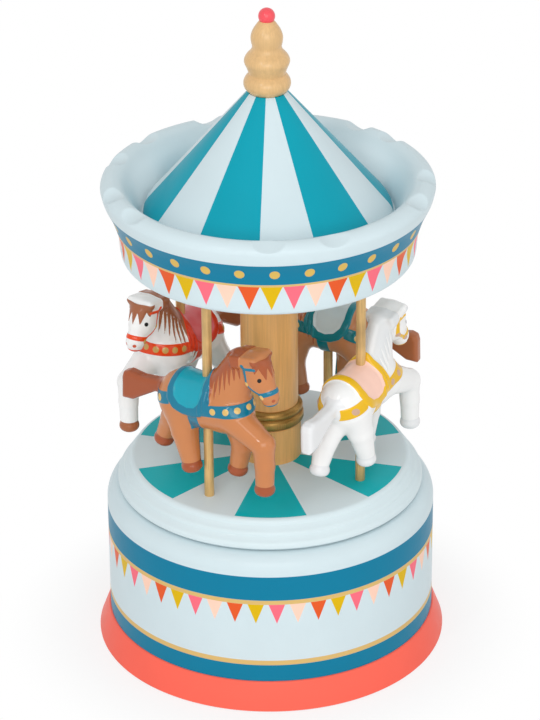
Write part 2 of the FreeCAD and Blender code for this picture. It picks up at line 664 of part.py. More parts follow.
def deck_hub():
    """Brass coupling let into the deck: the drive shaft enters from below, the tie rod from above."""
    hub = cylinder(HUB_R, DECK_Z, DECK_Z + HUB_H)
    hub = hub.cut(cylinder(SHAFT_R + SEAT, DECK_Z - 1, SHAFT_TOP_Z))
    hub = hub.cut(cylinder(ROD_R + SEAT, SHAFT_TOP_Z, DECK_Z + HUB_H + 1))
    head_r = HUB_SCREW_R * SCREW_HEAD_RATIO + RUN
    hub = hub.cut(holes(HUB_SCREW_R + RUN, hub_screw_places(), DECK_Z - 1, DECK_Z + HUB_H + 1))
    return hub.cut(holes(head_r, hub_screw_places(), DECK_Z - 1, DECK_Z + SCREW_HEAD_H + 0.2))


def hub_screws():
    made = []
    for x, y in hub_screw_places():
        one = screw(HUB_SCREW_R, HUB_SCREW_LENGTH)
        one.rotate(V(0, 0, 0), ALONG_X, 180)
        one.translate(V(x, y, DECK_Z + SCREW_HEAD_H + 0.2))
        made.append(one)
    return made


def tie_rod():
    return cylinder(ROD_R, SHAFT_TOP_Z, ROD_TOP_Z)


def column():
    plinth = cylinder(PLINTH_R, COLUMN_Z, RING_Z)
    trunk = cylinder(COLUMN_R, COLUMN_Z, CANOPY_Z + COLUMN_SOCKET)
    return fuse([plinth, trunk]).cut(cylinder(ROD_R + RUN, 0, ROD_TOP_Z))


def column_ring():
    """Gilt collar of two beads, the lower one fuller, standing on the column's plinth."""
    inner = COLUMN_R + SEAT
    split = RING_Z + 0.55 * RING_H
    top = RING_Z + RING_H
    neck_r = PLINTH_R + 0.25
    profile = [
        line((inner, RING_Z), (PLINTH_R, RING_Z)),
        arc((PLINTH_R, RING_Z), (RING_R, (RING_Z + split) / 2), (neck_r, split)),
        arc((neck_r, split), (RING_R - 0.25, (split + top) / 2), (COLUMN_R + 0.5, top)),
        line((COLUMN_R + 0.5, top), (inner, top)),
        line((inner, top), (inner, RING_Z)),
    ]
    return revolve(profile)


# Canopy, roof, finial and ball

def canopy():
    """Crown-shaped canopy that flares to a scalloped rim, with a bowl that the roof cone stands in."""
    z = CANOPY_Z
    bend = CANOPY_ROUND * (1 - math.sqrt(0.5))
    waist = (CANOPY_WAIST_R, z + CANOPY_WAIST_H)
    rim_z = z + CANOPY_RIM_H
    rim_in = CANOPY_RIM_R - CANOPY_RIM_WALL
    crown = (CANOPY_RIM_R - CANOPY_RIM_WALL / 2, rim_z + CANOPY_RIM_CROWN)
    flare = [waist, (CANOPY_WAIST_R + 2.3, z + CANOPY_WAIST_H + 4.6), (CANOPY_RIM_R, rim_z)]
    bowl = [(rim_in, rim_z), (BOWL_R + 1.6, FLOOR_Z + 4.0), (BOWL_R, FLOOR_Z)]
    profile = [
        line((0, z), (CANOPY_R - CANOPY_ROUND, z)),
        arc((CANOPY_R - CANOPY_ROUND, z), (CANOPY_R - bend, z + bend), (CANOPY_R, z + CANOPY_ROUND)),
        line((CANOPY_R, z + CANOPY_ROUND), waist),
        curve(flare),
        arc((CANOPY_RIM_R, rim_z), crown, (rim_in, rim_z)),
        curve(bowl),
        line((BOWL_R, FLOOR_Z), (0, FLOOR_Z)),
        line((0, FLOOR_Z), (0, z)),
    ]
    body = revolve(profile)
    notch_r = (NOTCH_W ** 2 / 4 + NOTCH_DEPTH ** 2) / (2 * NOTCH_DEPTH)
    centre = V(0, -BOWL_R, RIM_TOP_Z - NOTCH_DEPTH + notch_r)
    scoop = Part.makeCylinder(notch_r, CANOPY_RIM_R, centre, V(0, -1, 0))
    body = body.cut(around(scoop, NOTCH_COUNT, NOTCH_PHASE_DEG))
    body = body.cut(cylinder(COLUMN_R + SEAT, z - 1, z + COLUMN_SOCKET))
    body = body.cut(cylinder(ROD_R + RUN, z - 1, FLOOR_Z + 1))
    return body.cut(holes(POLE_R + SEAT, pole_places(), z - 1, z + POLE_SOCKET))


def roof_cone():
    shoulder_z = FLOOR_Z + CONE_SHOULDER_H
    profile = [
        line((0, FLOOR_Z), (CONE_R, FLOOR_Z)),
        curve([(CONE_R, FLOOR_Z), (CONE_R - 0.1, FLOOR_Z + 0.4 * CONE_SHOULDER_H),
               (CONE_SHOULDER_R, shoulder_z)]),
        line((CONE_SHOULDER_R, shoulder_z), (CONE_TOP_R, CONE_TOP_Z)),
        line((CONE_TOP_R, CONE_TOP_Z), (0, CONE_TOP_Z)),
        line((0, CONE_TOP_Z), (0, FLOOR_Z)),
    ]
    return revolve(profile).cut(cylinder(ROD_R + RUN, FLOOR_Z - 1, CONE_TOP_Z + 1))


def finial():
    """Turned finial of a flat bead, a pear-shaped bulb and an egg, drilled for the rod and the ball."""
    z0 = CONE_TOP_Z
    z1 = z0 + FINIAL_BEAD_H
    z2 = z1 + FINIAL_BULB_H
    z3 = z2 + FINIAL_EGG_H
    foot_r = FINIAL_BEAD_R - 1.6
    profile = [
        line((0, z0), (foot_r, z0)),
        arc((foot_r, z0), (FINIAL_BEAD_R, z0 + 0.55 * FINIAL_BEAD_H), (FINIAL_GROOVE_R, z1)),
        curve([(FINIAL_GROOVE_R, z1), (FINIAL_BULB_R, z1 + 0.45 * FINIAL_BULB_H), (FINIAL_NECK_R, z2)]),
        curve([(FINIAL_NECK_R, z2), (FINIAL_EGG_R, z2 + 0.36 * FINIAL_EGG_H), (FINIAL_TIP_R, z3)]),
        line((FINIAL_TIP_R, z3), (0, z3)),
        line((0, z3), (0, z0)),
    ]
    body = revolve(profile).cut(cylinder(ROD_R + SEAT, z0 - 1, ROD_TOP_Z))
    return body.cut(Part.makeSphere(BALL_R, V(0, 0, BALL_Z)))


def finial_ball():
    return Part.makeSphere(BALL_R, V(0, 0, BALL_Z))


# Poles and horses

def pole_angles():
    return [POLE_PHASE_DEG + i * 360.0 / POLE_COUNT for i in range(POLE_COUNT)]


def pole_places():
    """Pole centres, with angles measured from the front (-Y) towards +X."""
    turns = [math.radians(a) for a in pole_angles()]
    return [(POLE_CIRCLE_R * math.sin(a), -POLE_CIRCLE_R * math.cos(a)) for a in turns]


def pole(index):
    x, y = pole_places()[index]
    return cylinder(POLE_R, DECK_TOP_Z - POLE_SOCKET, CANOPY_Z + POLE_SOCKET, x, y)


def section(centre, normal, half_width, half_depth):
    """An elliptical section of a limb: half_width across the horse, half_depth within its side view."""
    s, across, z = centre
    direction = V(normal[0], 0, normal[1])
    direction.normalize()
    depth_way = V(-direction.z, 0, direction.x)
    if half_depth >= half_width:
        ellipse = Part.Ellipse(V(0, 0, 0), half_depth, half_width)
        major = depth_way
    else:
        ellipse = Part.Ellipse(V(0, 0, 0), half_width, half_depth)
        major = V(0, 1, 0)
    minor = direction.cross(major)
    turn = FreeCAD.Matrix(major.x, minor.x, direction.x, s, major.y, minor.y, direction.y, across,
                          major.z, minor.z, direction.z, z, 0, 0, 0, 1)
    edge = ellipse.toShape()
    edge.Placement = FreeCAD.Placement(turn)
    return Part.Wire(edge)


def ellipsoid(centre, half_sizes):
    ball = Part.makeSphere(1.0)
    stretch = FreeCAD.Matrix()
    stretch.scale(*half_sizes)
    made = ball.transformGeometry(stretch)
    made.translate(V(*centre))
    return made


# The horse is drawn beside its pole: s runs forward along the horse, w outwards from the carousel's axis, and
# z up from the middle of its trunk.

TRUNK_Z = HORSE_BACK_Z - TRUNK_HALF_H
BARREL = ((-0.5, 0.0), (16.8, TRUNK_HALF_W, TRUNK_HALF_H))  # centre (s, z) and half sizes
RUMP = ((-8.4, -0.4), (9.0, 8.2, 9.0))
CHEST = ((7.6, 0.2), (9.2, 7.4, 8.8))
NECK_WAY = (0.37, 0.93)
NECK = ((5.6, -0.4, 5.9, 8.4), (7.0, 3.1, 5.7, 8.1), (10.1, 10.4, 4.6, 6.5), (12.6, 15.9, 3.6, 5.0),
        (13.6, 18.4, 2.9, 3.9), (14.3, 20.0, 1.7, 2.1))  # sections (s, z, half width, half depth)
HEAD_WAY = (0.48, -0.877)
HEAD = ((16.8, 20.6, 2.2, 2.6), (18.0, 18.6, 3.8, 4.7), (19.2, 16.5, 4.3, 5.3), (20.4, 13.6, 4.2, 5.2),
        (22.8, 9.9, 3.3, 3.7), (24.0, 7.9, 3.0, 3.0), (25.0, 6.2, 1.7, 1.7))
EARS_MIDDLE = (16.6, 20.4)
EARS_HALF_LENGTH = 4.9
EARS_HALF_W = 5.0
EARS_TILT_DEG = 15.0
EARS_BACK_HALF = 2.0
EARS_FRONT_HALF = 1.1
EARS_ROUND = 0.7
TAIL = ((-13.0, 5.0), (-19.0, 3.0), (-25.0, 2.5), (-29.8, 3.2), (-31.8, 2.4), (-32.4, 0.6), (-32.6, -7.2),
        (-28.4, -6.9), (-19.6, -1.6), (-13.0, -0.8))
TAIL_HALF_W = 2.3
LEG_KNUCKLE = 1.015  # joints of a leg stand a little proud of its tapers
# Each leg: side (1 is outwards), stations (s, w, z, radius) from the body down, and the way its sole faces.
LEGS = (
    (1, ((12.0, 2.4, -1.4, 5.4), (23.4, 3.4, -7.2, 3.75), (23.9, 3.4, -14.4, 3.15), (23.8, 3.4, -20.8, 3.0)),
     (0.0, -1.0)),
    (-1, ((9.4, 2.6, -3.4, 5.4), (10.6, 3.8, -14.0, 3.6), (8.9, 4.0, -21.4, 3.0)), (-0.2, -1.0)),
    (1, ((-8.8, 2.2, -2.4, 6.4), (-6.6, 3.6, -10.8, 4.3), (-4.2, 4.0, -20.3, 3.05)), (0.15, -1.0)),
    (-1, ((-10.2, 2.2, -3.4, 6.3), (-15.8, 3.2, -11.4, 4.0), (-19.2, 3.4, -18.4, 2.95)), (-0.3, -1.0)),
)
HOOF_H = 4.0
HOOF_TOP_R = 3.2
HOOF_SOLE_R = 3.45


def trunk(grow):
    """Barrel, rump and chest, swollen outwards by grow."""
    made = []
    for (s, z), half_sizes in (BARREL, RUMP, CHEST):
        made.append(ellipsoid((s, 0, TRUNK_Z + z), [half + grow for half in half_sizes]))
    return made


def limb(stations, way):
    """A swelling, tapering solid lofted through elliptical sections that all face one way."""
    sections = [section((s, 0, TRUNK_Z + z), way, half_w, half_d) for s, z, half_w, half_d in stations]
    return Part.makeLoft(sections, True, False)


def side_slab(outline, half_w):
    """A slab as wide as twice half_w, with an outline given in the horse's side view."""
    points = [V(s, -half_w, TRUNK_Z + z) for s, z in outline]
    return Part.Face(Part.makePolygon(points + points[:1])).extrude(V(0, 2 * half_w, 0))


def horse_ears():
    """The ears, pricked forward over the forehead and carved as one wide block."""
    back, front = -EARS_HALF_LENGTH, EARS_HALF_LENGTH
    lower = ((back, -EARS_BACK_HALF), (front, -EARS_FRONT_HALF))
    upper = ((front, EARS_FRONT_HALF), (back, EARS_BACK_HALF))
    block = side_slab(lower + upper, EARS_HALF_W)
    block = block.makeFillet(EARS_ROUND, block.Edges)
    block.rotate(V(0, 0, TRUNK_Z), V(0, 1, 0), -EARS_TILT_DEG)
    block.translate(V(EARS_MIDDLE[0], 0, EARS_MIDDLE[1]))
    return block


def horse_leg(side, stations, sole_way):
    """Tapers between knuckles, ending in a hoof that flares to its sole."""
    spots = [V(s, -side * w, TRUNK_Z + z) for s, w, z, _ in stations]
    radii = [station[3] for station in stations]
    pieces = [Part.makeSphere(r * LEG_KNUCKLE, spot) for r, spot in zip(radii, spots)]
    for i in range(len(spots) - 1):
        way = spots[i + 1] - spots[i]
        pieces.append(Part.makeCone(radii[i], radii[i + 1], way.Length, spots[i], way))
    pieces.append(Part.makeCone(HOOF_TOP_R, HOOF_SOLE_R, HOOF_H, spots[-1], V(sole_way[0], 0, sole_way[1])))
    return pieces


def saddle_pad():
    """Raised saddle: a skirt that hangs over both sides, rounded below, and the girth under it."""
    top = HORSE_BACK_Z + 3.0
    low = HORSE_BACK_Z - SADDLE_SKIRT_DROP
    back_z, front_z = HORSE_BACK_Z - 3.8, HORSE_BACK_Z - 4.8
    middle = (SADDLE_BACK_S + SADDLE_FRONT_S) / 2 + 1.5
    side = [
        line((SADDLE_BACK_S, top), (SADDLE_BACK_S, back_z)),
        arc((SADDLE_BACK_S, back_z), (SADDLE_BACK_S + 2.5, low + 2.8), (middle, low)),
        arc((middle, low), (SADDLE_FRONT_S - 1.7, low + 2.4), (SADDLE_FRONT_S, front_z)),
        line((SADDLE_FRONT_S, front_z), (SADDLE_FRONT_S - SADDLE_FRONT_RAKE, top)),
        line((SADDLE_FRONT_S - SADDLE_FRONT_RAKE, top), (SADDLE_BACK_S, top)),
    ]
    half_w = 2 * TRUNK_HALF_W
    face = Part.Face(Part.Wire(side))
    face.translate(V(0, -half_w, 0))
    barrel, rump, _ = trunk(SADDLE_THICK)
    pad = barrel.fuse(rump).common(face.extrude(V(0, 2 * half_w, 0)))
    strap_s = (middle - GIRTH_W / 2, middle + GIRTH_W / 2)
    strap = box(strap_s, (-half_w, half_w), (TRUNK_Z - 2 * TRUNK_HALF_H, TRUNK_Z))
    return [pad, trunk(GIRTH_THICK)[0].common(strap)]


def horse_blank():
    """One carved horse with its saddle, bored for the pole."""
    pieces = trunk(0.0) + [limb(NECK, NECK_WAY), limb(HEAD, HEAD_WAY)]
    pieces += [horse_ears(), side_slab(TAIL, TAIL_HALF_W)]
    for side, stations, sole_way in LEGS:
        pieces += horse_leg(side, stations, sole_way)
    solid = pieces[0]
    for piece in pieces[1:] + saddle_pad():
        solid = solid.fuse(piece)
    return solid.cut(cylinder(POLE_R + SEAT, 0, CANOPY_Z))


def horse(blank, index):
    """The carved horse set on its pole, facing the way the carousel turns."""
    x, y = pole_places()[index]
    placed = blank.copy()
    placed.rotate(V(0, 0, 0), UP, pole_angles()[index])
    placed.translate(V(x, y, HORSE_LIFTS[index]))
    return placed


# Assembly

def screw_groups():
    cheek_length = CHEEK_FOOT_THICK + BEDPLATE_THICK - 0.8
    comb_length = AXIS_Z + COMB_THICK / 2 - BOARD_TOP - 0.8
    bed_length = BEDPLATE_THICK + BOARD_THICK - 1.0
    return {
        "foot_screws": foot_screws(),
        "hub_screws": hub_screws(),
        "bedplate_screws": screws_down(BEDPLATE_SCREW_R, bed_length, BEDPLATE_SCREWS, BED_TOP),
        "cheek_screws": screws_down(CHEEK_SCREW_R, cheek_length, cheek_screw_places(),
                                    BED_TOP + CHEEK_FOOT_THICK),
        "comb_screws": screws_down(COMB_SCREW_R, comb_length, comb_screw_places(), AXIS_Z + COMB_THICK / 2),
    }


def single_pieces():
    makers = (
        foot_ring, drum_shell, base_board, shaft_bush, thrust_washer, bedplate, inner_cheek, comb_block, comb,
        governor_bracket, clutch_spring, winding_arbor, winding_key, drive_wheel, barrel_case, mainspring,
        drive_shaft, deck, deck_hub, tie_rod, column, column_ring, canopy, roof_cone, finial, finial_ball,
        pin_cylinder, cylinder_arbor, crown_pinion, cylinder_gear, idler_arbor, idler_pinion, worm_wheel,
        worm_shaft, fly_vane,
    )
    made = {maker.__name__: maker() for maker in makers}
    made["outer_cheek"] = cheek(OUTER_CHEEK_X)
    blank = horse_blank()
    for i in range(POLE_COUNT):
        made[f"pole_{i + 1}"] = pole(i)
        made[f"horse_{i + 1}"] = horse(blank, i)
    return made


def main():
    os.makedirs("parts", exist_ok=True)
    nodes = {name: [shape] for name, shape in single_pieces().items()}
    nodes.update(screw_groups())
    for name, shapes in nodes.items():
        solids = [solid for shape in shapes for solid in shape.Solids]
        made = solids[0] if len(solids) == 1 else Part.makeCompound(solids)
        made.exportStep(f"parts/{name}.step")
        print(f"{name}: {len(solids)} solid(s), {made.Volume:.1f} mm3, valid {made.isValid()}")


main()
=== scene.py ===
"""Looks of the wind-up carousel music box: painted and turned wood, carved horses, brass, studio light."""

import json
import math

import bpy
import numpy as np
from mathutils import Matrix, Vector


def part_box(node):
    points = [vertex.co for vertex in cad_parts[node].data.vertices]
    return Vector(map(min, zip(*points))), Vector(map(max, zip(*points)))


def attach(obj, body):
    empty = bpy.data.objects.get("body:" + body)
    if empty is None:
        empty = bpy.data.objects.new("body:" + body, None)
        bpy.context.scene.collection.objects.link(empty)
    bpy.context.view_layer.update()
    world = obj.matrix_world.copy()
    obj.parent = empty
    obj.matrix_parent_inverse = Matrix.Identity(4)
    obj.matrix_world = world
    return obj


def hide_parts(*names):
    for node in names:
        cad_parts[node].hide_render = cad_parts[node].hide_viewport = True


MM = 0.001
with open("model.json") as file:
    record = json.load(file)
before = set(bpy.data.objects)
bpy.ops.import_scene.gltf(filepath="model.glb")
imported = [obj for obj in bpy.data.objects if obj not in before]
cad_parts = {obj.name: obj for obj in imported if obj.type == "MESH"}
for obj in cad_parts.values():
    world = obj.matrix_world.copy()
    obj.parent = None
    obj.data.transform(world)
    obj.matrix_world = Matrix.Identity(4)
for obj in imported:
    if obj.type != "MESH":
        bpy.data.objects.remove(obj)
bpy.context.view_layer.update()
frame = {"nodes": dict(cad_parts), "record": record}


def box_mm(node):
    low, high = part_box(node)
    return low / MM, high / MM


# Sizes of the turned pieces, read from the frame (mm)
FOOT_HIGH = box_mm("foot_ring")[1]
DRUM_LOW, DRUM_HIGH = box_mm("drum_shell")
DECK_LOW, DECK_HIGH = box_mm("deck")
COLUMN_LOW, COLUMN_HIGH = box_mm("column")
RING_LOW, RING_HIGH = box_mm("column_ring")
CANOPY_LOW, CANOPY_HIGH = box_mm("canopy")
CONE_LOW, CONE_HIGH = box_mm("roof_cone")
FINIAL_LOW, FINIAL_HIGH = box_mm("finial")
BALL_LOW, BALL_HIGH = box_mm("finial_ball")
POLE_NODES = ["pole_1", "pole_2", "pole_3", "pole_4"]
HORSE_NODES = ["horse_1", "horse_2", "horse_3", "horse_4"]

# Paint colours (sRGB)
PALE_BLUE = "cfdfe4"
# painted light: a paler blue inside the canopy's bowl that brightens the shade there
BOWL_LIGHTENED_BLUE = "e0edf1"
DARK_BLUE = "007a9c"
CONE_TEAL = "009cb0"
# painted light: the deck's teal and pale blue are lighter than the cone's and drum's, to make up for the
# canopy's shade
DECK_LIGHTENED_TEAL = "00b0b8"
DECK_LIGHTENED_BLUE = "d4e3e7"
CORAL = "fb6a58"
GILT_LINE = "d9b672"
GOLD_DOT = "d8b45c"
ORANGE = "e45a26"
YELLOW = "dcb400"
PINK = "f86e80"
PEACH = "fcd0ba"
BALL_RED = "f0505a"
PALE_WOOD = "e3ba82"
# painted light: the column's wood is painted lighter than it is, to make up for the canopy's shade on it
COLUMN_LIGHTENED_WOOD = "f4bb74"
BOARD_WOOD = "c9a878"
GILT = "b98f4c"
POLE_BRASS = "e0b878"
STEEL = "b9bcc0"
BRASS = "cda65a"
ZINC = "8f9296"
WHITE = (1.0, 1.0, 1.0, 1.0)
FLOOR_GREY = (0.9, 0.9, 0.9, 1.0)


def linear(hex_colour):
    """An sRGB hex colour as linear RGBA."""
    parts = [int(hex_colour[i:i + 2], 16) / 255 for i in (0, 2, 4)]
    return [c / 12.92 if c <= 0.04045 else ((c + 0.055) / 1.055) ** 2.4 for c in parts] + [1.0]


def darkened(colour, share):
    """A linear colour with a share of its light taken away."""
    return [c * (1 - share) for c in colour[:3]] + [1.0]


# Node graphs

COAT_ROUGHNESS = 0.08
METAL_SPECULAR = 0.5


class Tree:
    """A node tree, with short calls for adding nodes to it."""

    def __init__(self, tree):
        self.tree = tree

    def fill(self, node, inputs):
        """Link or set a node's inputs, given by name or number."""
        for key, value in inputs.items():
            if isinstance(value, bpy.types.NodeSocket):
                self.tree.links.new(value, node.inputs[key])
            else:
                node.inputs[key].default_value = value
        return node

    def node(self, kind, inputs=None, **settings):
        made = self.tree.nodes.new(kind)
        for key, value in settings.items():
            setattr(made, key, value)
        return self.fill(made, inputs or {})

    def math(self, operation, *values):
        return self.node("ShaderNodeMath", dict(enumerate(values)), operation=operation).outputs[0]

    def seen_rays(self):
        """1 for rays from the camera and for mirrored and clear-through ones, 0 for the light on things."""
        path = self.node("ShaderNodeLightPath").outputs
        share = self.math("MAXIMUM", path["Is Camera Ray"], path["Is Glossy Ray"])
        return self.math("MAXIMUM", share, path["Is Transmission Ray"])

    def blend(self, share, low, high, output):
        """Send a mix of two shaders to an output node."""
        mixed = self.node("ShaderNodeMixShader", {0: share, 1: low, 2: high}).outputs[0]
        self.fill(self.tree.nodes[output], {"Surface": mixed})


class Graph(Tree):
    """A material's node tree, with the piece's coordinates in mm and short calls for painting patterns."""

    def __init__(self, name):
        self.material = bpy.data.materials.new(name)
        self.material.use_nodes = True
        super().__init__(self.material.node_tree)
        self.shader = self.tree.nodes["Principled BSDF"]
        inputs = {0: self.node("ShaderNodeTexCoord").outputs["Object"], 3: 1 / MM}
        self.vector = self.node("ShaderNodeVectorMath", inputs, operation="SCALE").outputs[0]
        self.x, self.y, self.z = self.node("ShaderNodeSeparateXYZ", {0: self.vector}).outputs

    def plus(self, a, b):
        return self.math("ADD", a, b)

    def minus(self, a, b):
        return self.math("SUBTRACT", a, b)

    def times(self, a, b):
        return self.math("MULTIPLY", a, b)

    def distance(self, a, b):
        """Length of the flat vector (a, b)."""
        return self.math("SQRT", self.plus(self.times(a, a), self.times(b, b)))

    def mix(self, share, low, high):
        """A mix of two colours; the node's sockets for colours are inputs 6 and 7 and output 2."""
        return self.node("ShaderNodeMix", {0: share, 6: low, 7: high}, data_type="RGBA").outputs[2]

    def step(self, value, edge, soft):
        """0 below the edge and 1 above it, with a soft crossing."""
        inputs = {"Value": value, "From Min": edge - soft, "From Max": edge + soft}
        return self.node("ShaderNodeMapRange", inputs, interpolation_type="SMOOTHSTEP").outputs[0]

    def spread(self, value, middle, offsets):
        """A value from 0 to 1 made to run between two offsets from a middle."""
        inputs = {"Value": value, "To Min": middle + offsets[0], "To Max": middle + offsets[1]}
        return self.node("ShaderNodeMapRange", inputs).outputs[0]

    def shaded(self, colour, value, offsets):
        """A colour whose brightness goes with a value from 0 to 1."""
        inputs = {"Value": self.spread(value, 1.0, offsets), "Color": colour}
        return self.node("ShaderNodeHueSaturation", inputs).outputs[0]

    def band(self, value, low, high, soft):
        above = self.step(value, low, soft)
        below = self.minus(1.0, self.step(value, high, soft))
        return self.times(above, below)

    def colour_steps(self, share, stops):
        """A colour that changes sharply at each stop, given as (share, paint) in rising order."""
        made = self.node("ShaderNodeValToRGB", {0: share})
        made.color_ramp.interpolation = "CONSTANT"
        elements = made.color_ramp.elements
        for i, (position, paint) in enumerate(stops):
            stop = elements[i] if i < 2 else elements.new(position)
            stop.position = position
            stop.color = linear(paint)
        return made.outputs[0]

    def attribute(self, name):
        return self.node("ShaderNodeAttribute", attribute_name=name).outputs["Fac"]

    def radius(self):
        """Distance from the carousel axis."""
        return self.distance(self.x, self.y)

    def bearing(self):
        """Angle about the carousel axis in degrees, from the front (-Y) towards +X."""
        return self.math("DEGREES", self.math("ARCTAN2", self.x, self.times(self.y, -1.0)))

    def noise(self, scale, detail, roughness=0.5, vector=None):
        inputs = {"Vector": vector or self.vector, "Scale": scale, "Detail": detail, "Roughness": roughness}
        return self.node("ShaderNodeTexNoise", inputs).outputs["Fac"]

    def streaks(self, stretch, *recipe):
        """Noise whose scale differs along the three axes."""
        inputs = {0: self.vector, 1: stretch}
        scaled = self.node("ShaderNodeVectorMath", inputs, operation="MULTIPLY").outputs[0]
        return self.noise(*recipe, vector=scaled)

    def bump(self, height, distance_mm, strength):
        inputs = {"Height": height, "Distance": distance_mm * MM, "Strength": strength}
        self.fill(self.shader, {"Normal": self.node("ShaderNodeBump", inputs).outputs[0]})

    def finish(self, colour, roughness, coat=0.0, metallic=0.0, specular=0.25):
        self.fill(self.shader, {
            "Base Color": colour,
            "Roughness": roughness,
            "Metallic": metallic,
            "Coat Weight": coat,
            "Coat Roughness": COAT_ROUGHNESS,
            "Specular IOR Level": METAL_SPECULAR if metallic else specular,
        })
        return self.material


# Materials

PAINT_SOFT = 0.07  # half-width of a painted edge, mm
PENNANT_PAINTS = (YELLOW, PINK, PEACH, ORANGE)
PENNANT_SOFT = 0.012  # half-width of a pennant's edge, as a share of the pitch

# Noises: scale, detail, and in one a roughness; streaky ones start with a stretch for x, y and z
MOTTLE = (0.09, 3.0)
GLOSS = (0.35, 4.0)
TARNISH = (0.12, 3.0)
LACQUER_GRAIN = ((0.5, 0.5, 0.12), 1.6, 3.0)
WOOD_WARP = ((0.25, 0.25, 0.03), 1.0, 2.0)
WOOD_LINES = ((1.1, 1.1, 0.05), 1.4, 5.0, 0.62)
WOOD_PORES = ((4.0, 4.0, 0.25), 1.5, 2.0)
BRASS_STREAK = ((3.0, 3.0, 0.08), 1.4, 4.0)
METAL_BRUSH = ((0.4, 4.0, 4.0), 1.2, 4.0)

# Bumps: height in mm, strength
LACQUER_BUMP = (0.05, 0.35)
WOOD_BUMP = (0.06, 0.4)
BRASS_BUMP = (0.03, 0.3)
METAL_BUMP = (0.02, 0.3)

# Soft steps: edge, half-width
WOOD_LIGHT_STEP = (0.62, 0.22)
WOOD_PORE_STEP = (0.33, 0.06)
BRASS_LIGHT_STEP = (0.46, 0.16)
BRASS_CONTRAST = 0.38
WOOD_ROUGHNESS = 0.38
WOOD_SHARES = (0.7, 0.5)  # of the growth lines and of the warp in the wood's light and dark
WOOD_FLECK = 0.35

# Spreads of brightness about 1, and of roughness about its middle
MOTTLE_SPREAD = (-0.035, 0.02)
BRUSH_SPREAD = (-0.15, 0.05)
LACQUER_GLOSS = (-0.06, 0.08)
BRASS_GLOSS = (-0.06, 0.1)
METAL_GLOSS = (-0.08, 0.1)


def lacquer(graph, colour, coat=0.15, roughness=0.4, specular=0.08):
    """Hand-sprayed lacquer over wood: faint mottling, a little grain and uneven gloss."""
    tint = graph.shaded(colour, graph.noise(*MOTTLE), MOTTLE_SPREAD)
    gloss = graph.spread(graph.noise(*GLOSS), roughness, LACQUER_GLOSS)
    graph.bump(graph.streaks(*LACQUER_GRAIN), *LACQUER_BUMP)
    return graph.finish(tint, gloss, coat, specular=specular)


def pitches(graph, count, first_deg):
    """How many pitches of a pattern that repeats round the axis lie between first_deg and here."""
    return graph.math("DIVIDE", graph.minus(graph.bearing(), first_deg), 360.0 / count)


def pennants(graph, colour, count, first_deg, tip_z, top_z, base_share):
    """A row of hanging triangles in repeating colours, painted over a colour."""
    along = pitches(graph, count, first_deg)
    index = graph.math("ROUND", along)
    aside = graph.math("ABSOLUTE", graph.minus(along, index))
    rise = graph.math("DIVIDE", graph.minus(graph.z, tip_z), top_z - tip_z)
    half = graph.times(rise, base_share / 2)
    inside = graph.step(graph.minus(half, aside), 0.0, PENNANT_SOFT)
    inside = graph.times(inside, graph.math("LESS_THAN", graph.z, top_z))
    paints = len(PENNANT_PAINTS)
    turn = graph.math("DIVIDE", graph.plus(index, 0.5), paints)
    stops = [(i / paints, paint) for i, paint in enumerate(PENNANT_PAINTS)]
    colours = graph.colour_steps(graph.math("FLOORED_MODULO", turn, 1.0), stops)
    return graph.mix(inside, colour, colours)


def painted_bands(graph, colour, bands):
    for paint, low, high in bands:
        colour = graph.mix(graph.band(graph.z, low, high, PAINT_SOFT), colour, linear(paint))
    return colour


def foot_material():
    return lacquer(Graph("foot_coral"), linear(CORAL), coat=0.1, roughness=0.42)


DRUM_BANDS = (
    (DARK_BLUE, 0.0, 15.4),
    (GILT_LINE, 15.4, 17.1),
    (GILT_LINE, 38.0, 39.5),
    (DARK_BLUE, 39.5, 48.1),
)
DRUM_PENNANTS = dict(count=50, first_deg=-5.3, tip_z=31.0, top_z=38.0, base_share=0.78)
CANOPY_BANDS = ((GILT_LINE, 147.7, 148.5), (DARK_BLUE, 148.5, 156.4))
CANOPY_PENNANTS = dict(count=43, first_deg=1.0, tip_z=139.3, top_z=147.7, base_share=0.97)
DOT_COUNT = 29
DOT_FIRST_DEG = 2.1
DOT_Z = 152.6
DOT_RING_R = 50.2
DOT_R = 1.6


def drum_material():
    graph = Graph("drum_painted")
    colour = pennants(graph, linear(PALE_BLUE), **DRUM_PENNANTS)
    return lacquer(graph, painted_bands(graph, colour, DRUM_BANDS))


def canopy_material():
    graph = Graph("canopy_painted")
    colour = pennants(graph, linear(PALE_BLUE), **CANOPY_PENNANTS)
    colour = painted_bands(graph, colour, CANOPY_BANDS)
    along = pitches(graph, DOT_COUNT, DOT_FIRST_DEG)
    aside = graph.minus(along, graph.math("ROUND", along))
    arc = graph.times(aside, 2 * math.pi / DOT_COUNT * DOT_RING_R)
    far = graph.distance(arc, graph.minus(graph.z, DOT_Z))
    colour = graph.mix(graph.step(far, DOT_R, PAINT_SOFT), linear(GOLD_DOT), colour)
    # Inside the bowl the blue is painted paler, as painted light that lifts the bowl's shade
    outside = graph.step(graph.radius(), BOWL_LIGHTENED_R, BOWL_LIGHTENED_SOFT)
    return lacquer(graph, graph.mix(outside, linear(BOWL_LIGHTENED_BLUE), colour))


CONE_EDGES_DEG = (-155.0, -125.0, -95.0, -65.0, -35.5, -5.3, 22.2, 55.0, 85.0, 115.0, 145.0, 175.0)
DECK_WEDGES = 6
DECK_FIRST_DEG = -15.0
DECK_WEDGE_R = 44.3
DECK_WEDGE_DEPTH = 0.3  # the wedges' paint lies on what is no deeper than this below the deck's top


def cone_material():
    graph = Graph("cone_striped")
    turn = graph.plus(graph.math("DIVIDE", graph.bearing(), 360.0), 0.5)
    stops = [(0.0, PALE_BLUE)]
    stops += [(edge / 360.0 + 0.5, (CONE_TEAL, PALE_BLUE)[i % 2]) for i, edge in enumerate(CONE_EDGES_DEG)]
    return lacquer(graph, graph.colour_steps(turn, stops))


